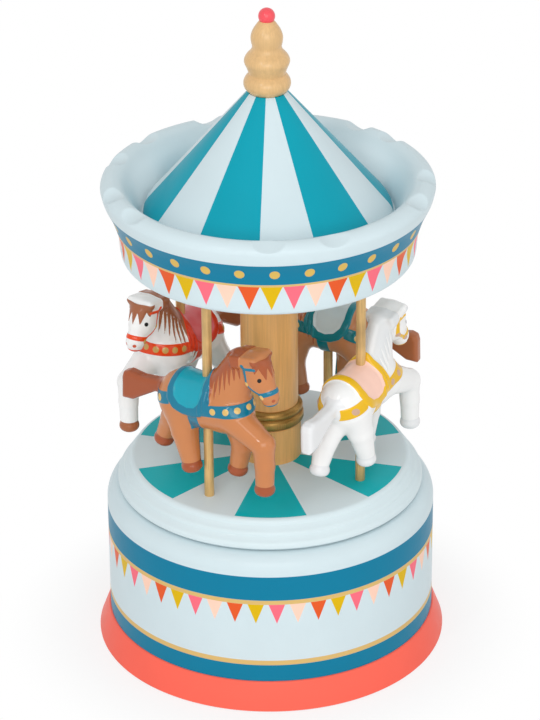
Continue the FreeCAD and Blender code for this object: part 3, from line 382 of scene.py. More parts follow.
def deck_material():
    graph = Graph("deck_painted")
    turn = pitches(graph, DECK_WEDGES, DECK_FIRST_DEG)
    wedge = graph.math("LESS_THAN", graph.math("FLOORED_MODULO", turn, 1.0), 0.5)
    wedge = graph.times(wedge, graph.math("LESS_THAN", graph.radius(), DECK_WEDGE_R))
    wedge = graph.times(wedge, graph.math("GREATER_THAN", graph.z, DECK_HIGH.z - DECK_WEDGE_DEPTH))
    # The deck's colours are painted lighter, as painted light against the canopy's shade
    return lacquer(graph, graph.mix(wedge, linear(DECK_LIGHTENED_BLUE), linear(DECK_LIGHTENED_TEAL)))


def wood_material(name, colour, contrast, coat):
    """Clear-lacquered turned wood with growth lines along the grain."""
    graph = Graph(name)
    lines = graph.streaks(*WOOD_LINES)
    light = linear(colour)
    dark = darkened(light, contrast)
    warp = graph.streaks(*WOOD_WARP)
    share = graph.plus(graph.times(lines, WOOD_SHARES[0]), graph.times(warp, WOOD_SHARES[1]))
    base = graph.mix(graph.step(share, *WOOD_LIGHT_STEP), dark, light)
    fleck = graph.minus(1.0, graph.step(graph.streaks(*WOOD_PORES), *WOOD_PORE_STEP))
    base = graph.mix(graph.times(fleck, WOOD_FLECK), base, dark)
    graph.bump(lines, *WOOD_BUMP)
    return graph.finish(base, WOOD_ROUGHNESS, coat)


def brass_material(name, colour, roughness, metallic):
    """Drawn brass with fine scratches along its length and a little tarnish."""
    graph = Graph(name)
    streak = graph.streaks(*BRASS_STREAK)
    light = linear(colour)
    dark = darkened(light, BRASS_CONTRAST)
    share = graph.times(graph.plus(streak, graph.noise(*TARNISH)), 0.5)
    base = graph.mix(graph.step(share, *BRASS_LIGHT_STEP), dark, light)
    graph.bump(streak, *BRASS_BUMP)
    gloss = graph.spread(streak, roughness, BRASS_GLOSS)
    return graph.finish(base, gloss, metallic=metallic)


def metal_material(name, colour, roughness):
    """Metal with fine brush marks."""
    graph = Graph(name)
    brush = graph.streaks(*METAL_BRUSH)
    base = graph.shaded(linear(colour), brush, BRUSH_SPREAD)
    graph.bump(brush, *METAL_BUMP)
    gloss = graph.spread(brush, roughness, METAL_GLOSS)
    return graph.finish(base, gloss, metallic=1.0)


# Turned pieces

SMOOTH_ANGLE = math.radians(32)


def add_object(name, data):
    made = bpy.data.objects.new(name, data)
    bpy.context.scene.collection.objects.link(made)
    return made


def add_mesh(name, vertices_mm, faces, material):
    mesh = bpy.data.meshes.new(name)
    mesh.from_pydata((np.asarray(vertices_mm) * MM).tolist(), [], faces)
    mesh.update()
    mesh.shade_smooth()
    mesh.set_sharp_from_angle(angle=SMOOTH_ANGLE)
    mesh.materials.append(material)
    return add_object(name, mesh)


def place(piece, body, slot, *nodes):
    """Give a piece its body and hide the CAD nodes that it stands for; the slot is not used."""
    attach(piece, body)
    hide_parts(*nodes)


def bend(centre, radius, start_deg, end_deg, count=8):
    """Points of a circular arc in the (radius, height) plane."""
    turns = np.radians(np.linspace(start_deg, end_deg, count))
    return [(centre[0] + radius * math.cos(a), centre[1] + radius * math.sin(a)) for a in turns]


def swell(points, count=28):
    """A smooth curve through a few (radius, height) points, by a natural cubic in chord length."""
    pts = np.asarray(points, float)
    t = np.concatenate([[0.0], np.cumsum(np.linalg.norm(np.diff(pts, axis=0), axis=1))])
    n = len(t)
    matrix, right = np.eye(n), np.zeros((n, 2))
    for i in range(1, n - 1):
        before, after = t[i] - t[i - 1], t[i + 1] - t[i]
        matrix[i, i - 1:i + 2] = before, 2 * (before + after), after
        right[i] = 6 * ((pts[i + 1] - pts[i]) / after - (pts[i] - pts[i - 1]) / before)
    curve = np.linalg.solve(matrix, right)
    made = []
    for u in np.linspace(0.0, t[-1], count):
        i = min(int(np.searchsorted(t, u, side="right")) - 1, n - 2)
        h, a, b = t[i + 1] - t[i], t[i + 1] - u, u - t[i]
        cubic = (curve[i] * a ** 3 + curve[i + 1] * b ** 3) / (6 * h)
        flat = (pts[i] / h - curve[i] * h / 6) * a + (pts[i + 1] / h - curve[i + 1] * h / 6) * b
        made.append(tuple(cubic + flat))
    return made


def lathe_points(profile, segments):
    turns = np.linspace(0, 2 * math.pi, segments, endpoint=False)
    rows = [[(r * math.sin(a), -r * math.cos(a), z) for a in turns] for r, z in profile]
    return np.asarray(rows, float)


def lathe_faces(rows, segments, closed):
    faces = []
    for i in range(rows if closed else rows - 1):
        low, high = i * segments, (i + 1) % rows * segments
        for j in range(segments):
            k = (j + 1) % segments
            faces.append((low + j, low + k, high + k, high + j))
    return faces


def lathe(name, profile, material, segments=192, closed=False):
    """A turned piece from a (radius, height) profile that runs up its outside; open ends are capped."""
    points = lathe_points(profile, segments)
    faces = lathe_faces(len(profile), segments, closed)
    if not closed:
        last = (len(profile) - 1) * segments
        faces.append(tuple(reversed(range(segments))))
        faces.append(tuple(range(last, last + segments)))
    return add_mesh(name, points.reshape(-1, 3), faces, material)


FOOT_RECESS_R = 40.0
FOOT_CHAMFER = 0.6
FOOT_ROUND = 0.4
FOOT_TOP_ROUND = 0.7
FOOT_TOP_INSET = 3.8  # from the foot's edge to the middle of its top's rounding
FOOT_SLOPE_DEG = (8, 15)  # where the lower rounding ends and the upper one starts
SCREW_HEAD_R = 2.85
SCREW_WELL_R = 2.9
SCREW_WELL_H = 3.2


def cut_wells(piece, places, radius, height):
    """Round wells cut up into a piece from below."""
    cutters = []
    for x, y in places:
        profile = [(radius, -height), (radius, height)]
        cutter = lathe("well_cutter", profile, piece.data.materials[0], segments=48)
        cutter.location = (x * MM, y * MM, 0.0)
        modifier = piece.modifiers.new("well", "BOOLEAN")
        modifier.object = cutter
        modifier.solver = "EXACT"
        cutters.append(cutter)
    bpy.context.view_layer.update()
    seen = piece.evaluated_get(bpy.context.evaluated_depsgraph_get())
    mesh = bpy.data.meshes.new_from_object(seen)
    mesh.set_sharp_from_angle(angle=SMOOTH_ANGLE)
    piece.modifiers.clear()
    piece.data = mesh
    for cutter in cutters:
        bpy.data.objects.remove(cutter)


def build_foot():
    outer, top = FOOT_HIGH.x, FOOT_HIGH.z
    lower_end, upper_start = FOOT_SLOPE_DEG
    profile = [(FOOT_RECESS_R, top), (FOOT_RECESS_R, FOOT_CHAMFER), (FOOT_RECESS_R + FOOT_CHAMFER, 0.0)]
    profile += bend((outer - FOOT_ROUND, FOOT_ROUND), FOOT_ROUND, -90, lower_end)
    profile += bend((outer - FOOT_TOP_INSET, top - FOOT_TOP_ROUND), FOOT_TOP_ROUND, upper_start, 90)
    piece = lathe("foot", profile, foot_material(), closed=True)
    reach = box_mm("foot_screws")[1].x - SCREW_HEAD_R
    screws = [(x, y) for x in (-reach, reach) for y in (-reach, reach)]
    cut_wells(piece, screws, SCREW_WELL_R, SCREW_WELL_H)
    place(piece, "base", "coral_wood", "foot_ring")


DRUM_WALL = 7.75
DRUM_ROUND = 5.5
DRUM_BORE_R = 4.53
DRUM_CEILING = 6.0
DRUM_EDGE = 0.1


def build_drum():
    outer, low, top = DRUM_HIGH.x, DRUM_LOW.z, DRUM_HIGH.z
    ceiling = top - DRUM_CEILING
    profile = [(outer - DRUM_WALL, low), (outer - DRUM_EDGE, low), (outer, low + DRUM_EDGE)]
    profile += bend((outer - DRUM_ROUND, top - DRUM_ROUND), DRUM_ROUND, 0, 90, count=18)
    profile += [(DRUM_BORE_R, top), (DRUM_BORE_R, ceiling), (outer - DRUM_WALL, ceiling)]
    piece = lathe("drum", profile, drum_material(), closed=True)
    place(piece, "base", "pale_wood", "drum_shell")


DECK_TREADS = ((0.0, 3.2), (2.0, 6.0), (4.0, 8.9))  # inset from the edge, height of the tread
DECK_ROUND = 1.8
DECK_EDGE = 0.8
DECK_BASE_INSET = 4.0
DECK_BEND_DEG = 62.0  # how far the lower treads turn before they run into the next one


def build_deck():
    outer, low = DECK_HIGH.x, DECK_LOW.z
    profile = [(outer - DECK_BASE_INSET, low), (outer - DECK_EDGE, low), (outer, low + DECK_EDGE)]
    for inset, height in DECK_TREADS:
        centre = (outer - inset - DECK_ROUND, low + height - DECK_ROUND)
        turn = 90.0 if low + height >= DECK_HIGH.z else DECK_BEND_DEG
        profile += bend(centre, DECK_ROUND, 0.0, turn)
    piece = lathe("deck_board", profile, deck_material())
    place(piece, "carousel", "pale_wood", "deck")


COLUMN_STEP = 0.9
COLUMN_EDGE = 0.3
RING_SPLIT = 0.55  # share of the ring's height that its lower bead takes
RING_GROOVE = 0.1  # how far the groove between the beads stands out from the plinth
RING_LIP = 0.2
# Beads: how far three stations lie in from the ring's edge, and the outer two from the bead's ends
LOWER_BEAD = dict(lower=(0.1, 0.9), crown=0.0, upper=(0.1, 0.8))
UPPER_BEAD = dict(lower=(0.4, 0.7), crown=0.3, upper=(0.8, 0.5))


def bead(start, end, edge, lower, crown, upper):
    """A turned bead between two (radius, height) points."""
    stations = [
        (edge - lower[0], start[1] + lower[1]),
        (edge - crown, (start[1] + end[1]) / 2),
        (edge - upper[0], end[1] - upper[1]),
    ]
    return swell([start, *stations, end])


def build_column():
    plinth, seat = COLUMN_HIGH.x, RING_LOW.z
    shaft = plinth - COLUMN_STEP
    profile = [(plinth, COLUMN_LOW.z), (plinth, seat - COLUMN_EDGE), (plinth - COLUMN_EDGE, seat)]
    profile += [(shaft, seat), (shaft, COLUMN_HIGH.z)]
    # The column's wood is painted lighter, as painted light against the canopy's shade
    wood = wood_material("column_lightened_wood", COLUMN_LIGHTENED_WOOD, contrast=0.2, coat=0.15)
    column = lathe("turned_column", profile, wood, segments=128)
    place(column, "carousel", "bare_wood", "column")
    low, high, outer = RING_LOW.z, RING_HIGH.z, RING_HIGH.x
    groove = (plinth + RING_GROOVE, low + RING_SPLIT * (high - low))
    profile = [(shaft, low)]
    profile += bead((plinth, low), groove, outer, **LOWER_BEAD)
    profile += bead(groove, (shaft + RING_LIP, high), outer, **UPPER_BEAD)[1:]
    profile += [(shaft, high)]
    gilt = brass_material("gilt", GILT, roughness=0.34, metallic=0.75)
    ring = lathe("gilt_ring", profile, gilt, segments=128, closed=True)
    place(ring, "carousel", "gilt_wood", "column_ring")


CANOPY_R = 47.0
# Radius and height of the wall's flare
CANOPY_WALL = ((47.2, 3.0), (47.5, 7.0), (48.4, 11.0), (49.4, 14.0), (50.6, 17.0), (52.1, 20.0))
CANOPY_RIM_H = 23.4
CANOPY_RIM_WALL = 8.0
CANOPY_ROUND = 2.0
CANOPY_FLAT = 0.5  # width of the flat ring under the wall
CANOPY_RIM_CROWN = 3.2
BOWL_R = 40.4
BOWL_LAP = 1.0  # how far the bowl's floor runs under the cone
BOWL_CURVE = ((6.4, 0.93), (4.2, 0.73), (2.3, 0.44), (0.8, 0.16))  # radius past BOWL_R, share of the depth
# where the bowl's painted light starts, and how softly it fades in
BOWL_LIGHTENED_R = 45.0
BOWL_LIGHTENED_SOFT = 1.6
UNDERSIDE_LAP = 1.2  # how far the underside runs into the column
UNDERSIDE_INSET = 0.2  # from the wall's rounding to the underside's edge
UNDERSIDE_LIFT = (0.6, 0.05)  # height above the canopy's lowest level, at the column and at the edge
NOTCH_DEG = (-178.0, -157.0, -127.5, -106.0, -74.5, -55.5, 0.0, 23.5, 67.0, 88.5, 127.0, 143.5)
NOTCH_W = 9.0
NOTCH_DEPTH = (1.1, 1.9)  # at the front, at the back
NOTCH_FALL = 0.35  # the scoops deepen towards the rim's edge: fall per mm outwards
CANOPY_SEGMENTS = 720


def notch_height(points):
    """Height of the scoops over each lathe point; between the scoops it is far above the rim."""
    radius = np.hypot(points[..., 0], points[..., 1])
    angle = np.degrees(np.arctan2(points[..., 0], -points[..., 1]))
    aside = np.min([np.abs((angle - spot + 180.0) % 360.0 - 180.0) for spot in NOTCH_DEG], axis=0)
    across = np.radians(aside) * radius
    front, back = NOTCH_DEPTH
    depth = front + (back - front) * (1.0 - np.cos(np.radians(angle))) / 2
    scoop_r = (NOTCH_W ** 2 / 4 + depth ** 2) / (2 * depth)
    ridge = CANOPY_LOW.z + CANOPY_RIM_H + CANOPY_RIM_CROWN
    centre = ridge - depth + scoop_r - NOTCH_FALL * (radius - CANOPY_HIGH.x + CANOPY_RIM_WALL / 2)
    reach = np.clip(scoop_r ** 2 - across ** 2, 0.0, None)
    return np.where(np.abs(across) < scoop_r, centre - np.sqrt(reach), np.inf)


def build_canopy():
    low, rim_r = CANOPY_LOW.z, CANOPY_HIGH.x
    floor, rim_z = CONE_LOW.z, low + CANOPY_RIM_H
    half = CANOPY_RIM_WALL / 2
    middle = rim_r - half
    profile = [(CANOPY_R - CANOPY_ROUND - CANOPY_FLAT, low)]
    profile += bend((CANOPY_R - CANOPY_ROUND, low + CANOPY_ROUND), CANOPY_ROUND, -90, 0)
    wall = [(radius, low + height) for radius, height in CANOPY_WALL]
    profile += swell([profile[-1], *wall, (rim_r, rim_z)], count=40)[1:]
    turns = np.linspace(0, math.pi / 2, 16)
    profile += [(middle + half * math.cos(a), rim_z + CANOPY_RIM_CROWN * math.sin(a)) for a in turns[1:]]
    depth = rim_z + CANOPY_RIM_CROWN - floor
    bowl = [(BOWL_R + out, floor + share * depth) for out, share in BOWL_CURVE]
    profile += swell([profile[-1], *bowl, (BOWL_R, floor)], count=30)[1:]
    profile += [(CONE_HIGH.x - BOWL_LAP, floor)]
    points = lathe_points(profile, CANOPY_SEGMENTS)
    points[..., 2] = np.minimum(points[..., 2], notch_height(points))
    faces = lathe_faces(len(profile), CANOPY_SEGMENTS, True)
    piece = add_mesh("crown_canopy", points.reshape(-1, 3), faces, canopy_material())
    inner, edge = UNDERSIDE_LIFT
    profile = [(COLUMN_HIGH.x - UNDERSIDE_LAP, low + inner)]
    profile += [(CANOPY_R - CANOPY_ROUND - UNDERSIDE_INSET, low + edge)]
    underside = lathe("canopy_underside", profile, piece.data.materials[0], segments=128)
    underside.parent = piece
    place(piece, "carousel", "pale_wood", "canopy")


CONE_SHOULDER_H = 4.6
CONE_SHOULDER_R = 38.0
CONE_TOP_R = 6.2
CONE_SKIRT = (0.1, 0.4)  # inset from the cone's edge, share of the shoulder's height


def build_cone():
    low, high, outer = CONE_LOW.z, CONE_HIGH.z, CONE_HIGH.x
    inset, share = CONE_SKIRT
    shoulder = low + CONE_SHOULDER_H
    skirt = (outer - inset, low + share * CONE_SHOULDER_H)
    profile = swell([(outer, low), skirt, (CONE_SHOULDER_R, shoulder)], count=12)
    for t in np.linspace(0.02, 1, 12):
        radius = CONE_SHOULDER_R + (CONE_TOP_R - CONE_SHOULDER_R) * t
        profile.append((radius, shoulder + (high - shoulder) * t))
    place(lathe("striped_cone", profile, cone_material()), "carousel", "cone_wood", "roof_cone")


FINIAL_BEAD_H = 6.0
FINIAL_BULB_H = 9.0
FINIAL_GROOVE_R = 5.8
FINIAL_NECK_R = 4.6
FINIAL_EGG_R = 5.05
FINIAL_EGG_SHARE = 0.36  # where the egg is widest, as a share of its height
FINIAL_TIP_R = 2.3
FINIAL_BEAD = ((1.6, 0.0), (0.3, 1.4), (0.0, 3.3))  # inset from the bead's edge, height
# Share of the bulb's height, radius
FINIAL_BULB = ((0.15, 6.2), (0.31, 6.8), (0.47, 7.2), (0.59, 6.9), (0.72, 6.1), (0.88, 4.9))
BALL_ARC_DEG = (-60, 88)


def build_finial():
    low, top, outer = FINIAL_LOW.z, FINIAL_HIGH.z, FINIAL_HIGH.x
    groove = (FINIAL_GROOVE_R, low + FINIAL_BEAD_H)
    neck = (FINIAL_NECK_R, groove[1] + FINIAL_BULB_H)
    widest = (FINIAL_EGG_R, neck[1] + FINIAL_EGG_SHARE * (top - neck[1]))
    foot = [(outer - inset, low + height) for inset, height in FINIAL_BEAD]
    bulb = [(radius, groove[1] + share * FINIAL_BULB_H) for share, radius in FINIAL_BULB]
    profile = swell([*foot, groove])
    profile += swell([groove, *bulb, neck])[1:]
    profile += swell([neck, widest, (FINIAL_TIP_R, top)])[1:]
    wood = wood_material("finial_wood", PALE_WOOD, contrast=0.16, coat=0.3)
    finial = lathe("turned_finial", profile, wood, segments=96)
    place(finial, "carousel", "bare_wood", "finial")
    radius, middle = BALL_HIGH.x, (BALL_LOW.z + BALL_HIGH.z) / 2
    profile = bend((0.0, middle), radius, *BALL_ARC_DEG, count=28)
    red = lacquer(Graph("ball_red"), linear(BALL_RED), coat=0.3, roughness=0.3, specular=0.3)
    ball = lathe("red_ball", profile, red, segments=64)
    place(ball, "carousel", "ball_wood", "finial_ball")


POLE_RINGS = 12
POLE_SEGMENTS = 40


def build_poles():
    brass = brass_material("pole_brass", POLE_BRASS, roughness=0.36, metallic=0.3)
    for node in POLE_NODES:
        low, high = box_mm(node)
        middle, radius = (low + high) / 2, (high.x - low.x) / 2
        profile = [(radius, z) for z in np.linspace(low.z, high.z, POLE_RINGS)]
        points = lathe_points(profile, POLE_SEGMENTS)
        points[..., 0] += middle.x
        points[..., 1] += middle.y
        faces = lathe_faces(POLE_RINGS, POLE_SEGMENTS, False)
        piece = add_mesh(f"{node}_rod", points.reshape(-1, 3), faces, brass)
        place(piece, "carousel", "pole_brass", node)


# Horses: one carved shape, worked out as a distance field beside its pole and meshed on a grid.
# s runs forward along the horse, w outwards from the carousel axis, z is the real height; all in mm.

GRID = 0.36
HORSE_LOW = (-34.5, -11.0, 69.8)
HORSE_HIGH = (30.5, 11.0, 125.0)
OUTSIDE = -9.0  # a paint field's value well away from its paint


def ellipsoid(p, centre, radii):
    q = [(a - c) / r for a, c, r in zip(p, centre, radii)]
    k0 = np.sqrt(q[0] ** 2 + q[1] ** 2 + q[2] ** 2) + 1e-6
    k1 = np.sqrt(sum((a / r) ** 2 for a, r in zip(q, radii))) + 1e-6
    return k0 * (k0 - 1) / k1


def taper(p, start, end, r_start, r_end, flat=1.0):
    """A round-ended cone between two points; flat below 1 thins it sideways."""
    a, b = np.asarray(start, float), np.asarray(end, float)
    way = b - a
    t = sum((p[i] - a[i]) * way[i] for i in range(3)) / (way @ way)
    t = np.clip(t, 0, 1)
    d = [p[i] - a[i] - t * way[i] for i in range(3)]
    return np.sqrt(d[0] ** 2 + (d[1] / flat) ** 2 + d[2] ** 2) - (r_start + t * (r_end - r_start))


def join(a, b, soft):
    """Smooth union of two distance fields."""
    h = np.clip(0.5 + 0.5 * (b - a) / soft, 0, 1)
    return b + (a - b) * h - soft * h * (1 - h)


def overlap(a, b):
    """Distance to where two shapes overlap, round outside the corner between them."""
    return np.hypot(np.maximum(a, 0), np.maximum(b, 0)) + np.minimum(np.maximum(a, b), 0)


def ramp(value, edge, soft):
    t = np.clip((value - edge + soft) / (2 * soft), 0, 1)
    return t * t * (3 - 2 * t)


def outline(u, v, corners):
    """Signed distance to a polygon, positive inside."""
    far = np.full(np.shape(u), np.inf)
    sign = np.ones(np.shape(u))
    for i, (cx, cy) in enumerate(corners):
        bx, by = corners[i - 1]
        ex, ey = bx - cx, by - cy
        wx, wy = u - cx, v - cy
        t = np.clip((wx * ex + wy * ey) / (ex * ex + ey * ey), 0, 1)
        far = np.minimum(far, (wx - ex * t) ** 2 + (wy - ey * t) ** 2)
        up, down, left = v >= cy, v < by, ex * wy > ey * wx
        flip = (up & down & left) | (~up & ~down & ~left)
        sign = np.where(flip, -sign, sign)
    return -sign * np.sqrt(far)


def stroke(u, v, start, end):
    """Distance to a straight stroke in a side view."""
    ax, ay = start
    ex, ey = end[0] - ax, end[1] - ay
    t = np.clip(((u - ax) * ex + (v - ay) * ey) / (ex * ex + ey * ey), 0, 1)
    return np.hypot(u - ax - ex * t, v - ay - ey * t)


def zigzag(value):
    """Triangle wave from 0 to 1 with period 1."""
    return 1 - np.abs(2 * (value % 1.0) - 1)


# How softly shapes run into each other
BLEND_NECK = 2.0
BLEND_TRUNK = 1.5
BLEND_HIP = 1.6
BLEND_HEAD = 1.2
BLEND_KNEE = 0.8
# Ellipsoids: middle, radii
BELLY = ((-0.5, 0, 98.4), (16.8, 7.7, 8.9))
HAUNCH = ((-8.4, 0, 98.0), (9.0, 8.2, 9.0))
CHEST = ((7.6, 0, 98.6), (9.2, 7.4, 8.8))
CHEEK = ((19.7, 0, 112.0), (4.3, 4.2, 4.6))
MUZZLE = ((23.7, 0, 106.9), (3.0, 3.1, 2.9))
# Tapers: start, end, their radii, flatness
NECK = ((7.0, 0, 101.5), (12.7, 0, 115.1), 8.2, 5.0, 0.70)
HEAD = ((18.8, 0, 115.6), (23.4, 0, 107.4), 5.2, 3.0, 0.82)
# Legs: side (1 is outwards), stations of (s, w, z, radius) from the body down, the way the sole faces
LEGS = (
    (1, ((12.0, 2.4, 97.0, 5.4), (23.4, 3.4, 91.2, 3.75), (23.9, 3.4, 84.0, 3.15), (23.8, 3.4, 77.6, 3.0)),
     (0.0, -1.0)),
    (-1, ((9.4, 2.6, 95.0, 5.4), (10.6, 3.8, 84.4, 3.6), (8.9, 4.0, 77.0, 3.0)), (-0.2, -1.0)),
    (1, ((-8.8, 2.2, 96.0, 6.4), (-6.6, 3.6, 87.6, 4.3), (-4.2, 4.0, 78.1, 3.05)), (0.15, -1.0)),
    (-1, ((-10.2, 2.2, 95.0, 6.3), (-15.8, 3.2, 87.0, 4.0), (-19.2, 3.4, 80.0, 2.95)), (-0.3, -1.0)),
)
HOOF_H = 4.0
HOOF_R = 3.3
HOOF_ROUND = 1.9
HOOF_FLARE = 0.06
HOOF_PAINT = (0.1, 1.0)  # starts this far below the ankle, reaches this far past the hoof's side
TAIL = ((-13.0, 103.4), (-19.0, 101.4), (-25.0, 100.9), (-29.8, 101.6), (-31.8, 100.8), (-32.4, 99.0),
        (-32.6, 91.2), (-28.4, 91.5), (-19.6, 96.8), (-13.0, 97.6))
TAIL_ROUND = 1.5
TAIL_HALF_W = 2.3
TAIL_PAINT_S = -15.5
TAIL_PAINT_REACH = 0.6
SADDLE = ((-10.6, 114.0), (-10.8, 103.4), (-10.0, 100.6), (-7.5, 98.0), (-4.2, 96.2), (-0.6, 95.8),
          (2.6, 97.0), (5.0, 99.4), (5.6, 102.5), (4.6, 106.0), (3.2, 108.9), (2.6, 114.0))
SEAT = ((-8.3, 114.0), (-8.5, 104.8), (-7.6, 102.0), (-5.4, 99.9), (-2.4, 99.0), (0.2, 99.6), (1.9, 101.4),
        (2.4, 104.5), (1.6, 107.4), (0.6, 114.0))
CREST = ((1.4, 106.0), (3.3, 110.2), (7.5, 115.0), (11.6, 118.4), (14.1, 120.0), (17.0, 120.9))
STRAND_PITCH = 1.75
STRAND_SHORT = 2.6
STRAND_LONG = 11.2
STRAND_INNER = 1.45  # the mane hangs this many times longer on the side of the axis
STRAND_LEAN = 0.10  # how far the strands lean back per mm of height
STRAND_ZERO = 110.0  # the height at which the lean is nothing
STRAND_CUT = 0.25  # share that the strands are shorter at the front of the mane
STRAND_CUT_RAMP = (11.0, 4.0)
MANE_SPAN = (1.7, 15.4)
FORELOCK_PITCH = 2.3
FORELOCK_LONG = 4.2
# Height above the hanging points' steep edges times this is about the distance from them
MANE_SLOPE = 0.25
FORELOCK_SLOPE = 0.4
FORELOCK_Z = (117.6, 120.0)  # its lower edge between the points, its upper edge
# Slanting lines in the side view: level, rise, start
FORELOCK_LINE = (20.0, -0.25, 118.0)
BREAST_LINE = (99.55, 0.175, 5.0)
CRUPPER_LINE = (100.3, 0.32, -10.0)
VISOR_MIDDLE = (16.6, 118.8)
VISOR_HALF = (4.9, 5.0, 1.55)
VISOR_TILT = math.radians(15)
VISOR_THINNING = 0.06  # share of its thickness lost per mm forward
VISOR_ROUND = 0.9
HEAD_AXIS = Vector((0.36, 0.0, -0.93)).normalized()
STRAP_HALF_W = 1.95
BREAST_FROM = 3.0
CRUPPER_SPAN = (-17.0, -9.0)
GIRTH_HALF_W = 1.9
GIRTH_S = -0.9
GIRTH_Z = (90.0, 97.5)
GIRTH_UNDER_W = 2.2  # under the belly the girth is painted this far out from the middle
NOSEBAND = (24.4, 108.9)
NOSEBAND_HALF_W = 0.75
NOSEBAND_FROM = 21.4
CHEST_S = 7.0  # the chest studs are aimed from here
CHEST_RAY = (2.0, 14.0, 0.02)  # start, end and step of the aiming
CHEST_STUD_Z = 100.5  # about the strap's height there
CHEST_STUDS_DEG = (7.5, 32.8, 56.2, 89.4, -14.0, -33.0, -55.0, -82.0)
REAR_STUD = (-13.7, 99.1)
STUD_R = 1.12
ROSETTES = ((17.4, 111.0), (22.6, 107.4))
ROSETTE_R = 0.85
# Half-width, start and end of the cheek, brow and jaw straps
BRIDLE = ((0.65, (16.6, 117.6), (17.2, 111.2)), (0.55, (16.6, 116.4), (20.6, 117.0)), (0.5, *ROSETTES))
EYE = (22.2, 113.5)
EYE_R = 0.72
EYE_SQUEEZE = 1.15
EYE_W = 1.5  # the eye's paint starts this far out from the middle
NOSTRIL = (26.0, 1.5, 106.7)
NOSTRIL_R = 0.62
NOSTRIL_SQUEEZE = 0.9
# Paint fields that stand out from the wood: height, edge, half-width of the edge
RELIEF = {
    "saddle": (0.75, 0.0, 0.5),
    "seat": (-0.3, 0.2, 0.6),
    "strap": (0.3, 0.0, 0.35),
    "stud": (0.25, 0.3, 0.5),
    "mane": (0.35, 0.0, 0.25),
    "nostril": (-0.3, 0.1, 0.3),
    "eye": (0.15, 0.1, 0.3),
}


def visor(s, w, z):
    """The pricked ears and the tuft between them, carved as one block over the forehead."""
    c, n = math.cos(VISOR_TILT), math.sin(VISOR_TILT)
    u, v = s - VISOR_MIDDLE[0], z - VISOR_MIDDLE[1]
    q = (u * c + v * n, w, v * c - u * n)
    half = (VISOR_HALF[0], VISOR_HALF[1], VISOR_HALF[2] * (1 - VISOR_THINNING * q[0]))
    gap = [np.abs(a) - h + VISOR_ROUND for a, h in zip(q, half)]
    outside = np.sqrt(sum(np.maximum(g, 0) ** 2 for g in gap))
    return outside + np.minimum(np.max(gap, axis=0), 0) - VISOR_ROUND


def hoof_places(p, side, ankle, way):
    """Distance along a hoof from its middle towards the sole, and distance aside from its axis."""
    s, w, z = p
    length = math.hypot(*way)
    u, v = s - ankle[0], z - ankle[2]
    along = (u * way[0] + v * way[1]) / length - HOOF_H / 2
    across = (u * way[1] - v * way[0]) / length
    return along, np.hypot(across, w - side * ankle[1])


def bare_horse(p):
    """The horse without its tack: trunk, neck, head, ears, legs and tail."""
    s, w, z = p
    body = ellipsoid(p, *BELLY)
    body = join(body, ellipsoid(p, *HAUNCH), BLEND_TRUNK)
    body = join(body, ellipsoid(p, *CHEST), BLEND_TRUNK)
    body = join(body, taper(p, *NECK), BLEND_NECK)
    head = taper(p, *HEAD)
    head = join(head, ellipsoid(p, *CHEEK), BLEND_TRUNK)
    head = join(head, ellipsoid(p, *MUZZLE), BLEND_HEAD)
    body = join(body, head, BLEND_HEAD)
    body = join(body, visor(s, w, z), BLEND_NECK)
    for side, stations, way in LEGS:
        leg = None
        for (s0, w0, z0, r0), (s1, w1, z1, r1) in zip(stations, stations[1:]):
            part = taper(p, (s0, side * w0, z0), (s1, side * w1, z1), r0, r1)
            leg = part if leg is None else join(leg, part, BLEND_KNEE)
        body = join(body, leg, BLEND_HIP)
        along, aside = hoof_places(p, side, stations[-1], way)
        wide = aside - HOOF_R - HOOF_FLARE * along + HOOF_ROUND
        tall = np.abs(along) - HOOF_H / 2 + HOOF_ROUND
        body = np.minimum(body, overlap(wide, tall) - HOOF_ROUND)
    flat = np.abs(w) - TAIL_HALF_W + TAIL_ROUND
    tail = overlap(flat, TAIL_ROUND - outline(s, z, TAIL)) - TAIL_ROUND
    return join(body, tail, BLEND_HEAD)


def slant(u, level, rise, start):
    """A straight line's value at u: level at the start, and rising from there."""
    return level + rise * (u - start)


def crest_height(s):
    return np.interp(s, *zip(*CREST))


def mane_field(s, w, z):
    """Positive on the mane: a strip along the crest that ends below in hanging points."""
    wave = zigzag((s + STRAND_LEAN * (z - STRAND_ZERO)) / STRAND_PITCH)
    wave = wave * (1 - STRAND_CUT * ramp(s, *STRAND_CUT_RAMP))
    length = STRAND_SHORT + (STRAND_LONG - STRAND_SHORT) * wave
    length = length * np.where(w < 0, STRAND_INNER, 1.0)
    hang = (z - crest_height(s) + length) * MANE_SLOPE
    back, front = MANE_SPAN
    return np.minimum(np.minimum(hang, s - back), front - s)


def forelock_field(s, w, z):
    """Positive on the points of hair that hang over the forehead."""
    low, high = FORELOCK_Z
    hang = (z - low + FORELOCK_LONG * zigzag(w / FORELOCK_PITCH + 0.5)) * FORELOCK_SLOPE
    return np.minimum(np.minimum(hang, s - slant(z, *FORELOCK_LINE)), high - z)


def strap_field(s, w, z):
    """Positive on the breast strap, the crupper strap, the girth and the bridle."""
    breast = np.minimum(STRAP_HALF_W - np.abs(z - slant(s, *BREAST_LINE)), s - BREAST_FROM)
    crupper = STRAP_HALF_W - np.abs(z - slant(s, *CRUPPER_LINE))
    crupper = np.minimum(crupper, np.minimum(CRUPPER_SPAN[1] - s, s - CRUPPER_SPAN[0]))
    girth = np.minimum(GIRTH_HALF_W - np.abs(s - GIRTH_S), GIRTH_Z[1] - z)
    girth = np.minimum(girth, np.maximum(z - GIRTH_Z[0], GIRTH_UNDER_W - np.abs(w)))
    along = (s - NOSEBAND[0]) * HEAD_AXIS.x + (z - NOSEBAND[1]) * HEAD_AXIS.z
    nose = np.minimum(NOSEBAND_HALF_W - np.abs(along), s - NOSEBAND_FROM)
    bridle = [half - stroke(s, z, start, end) for half, start, end in BRIDLE]
    return np.max([breast, crupper, girth, nose, *bridle], axis=0)


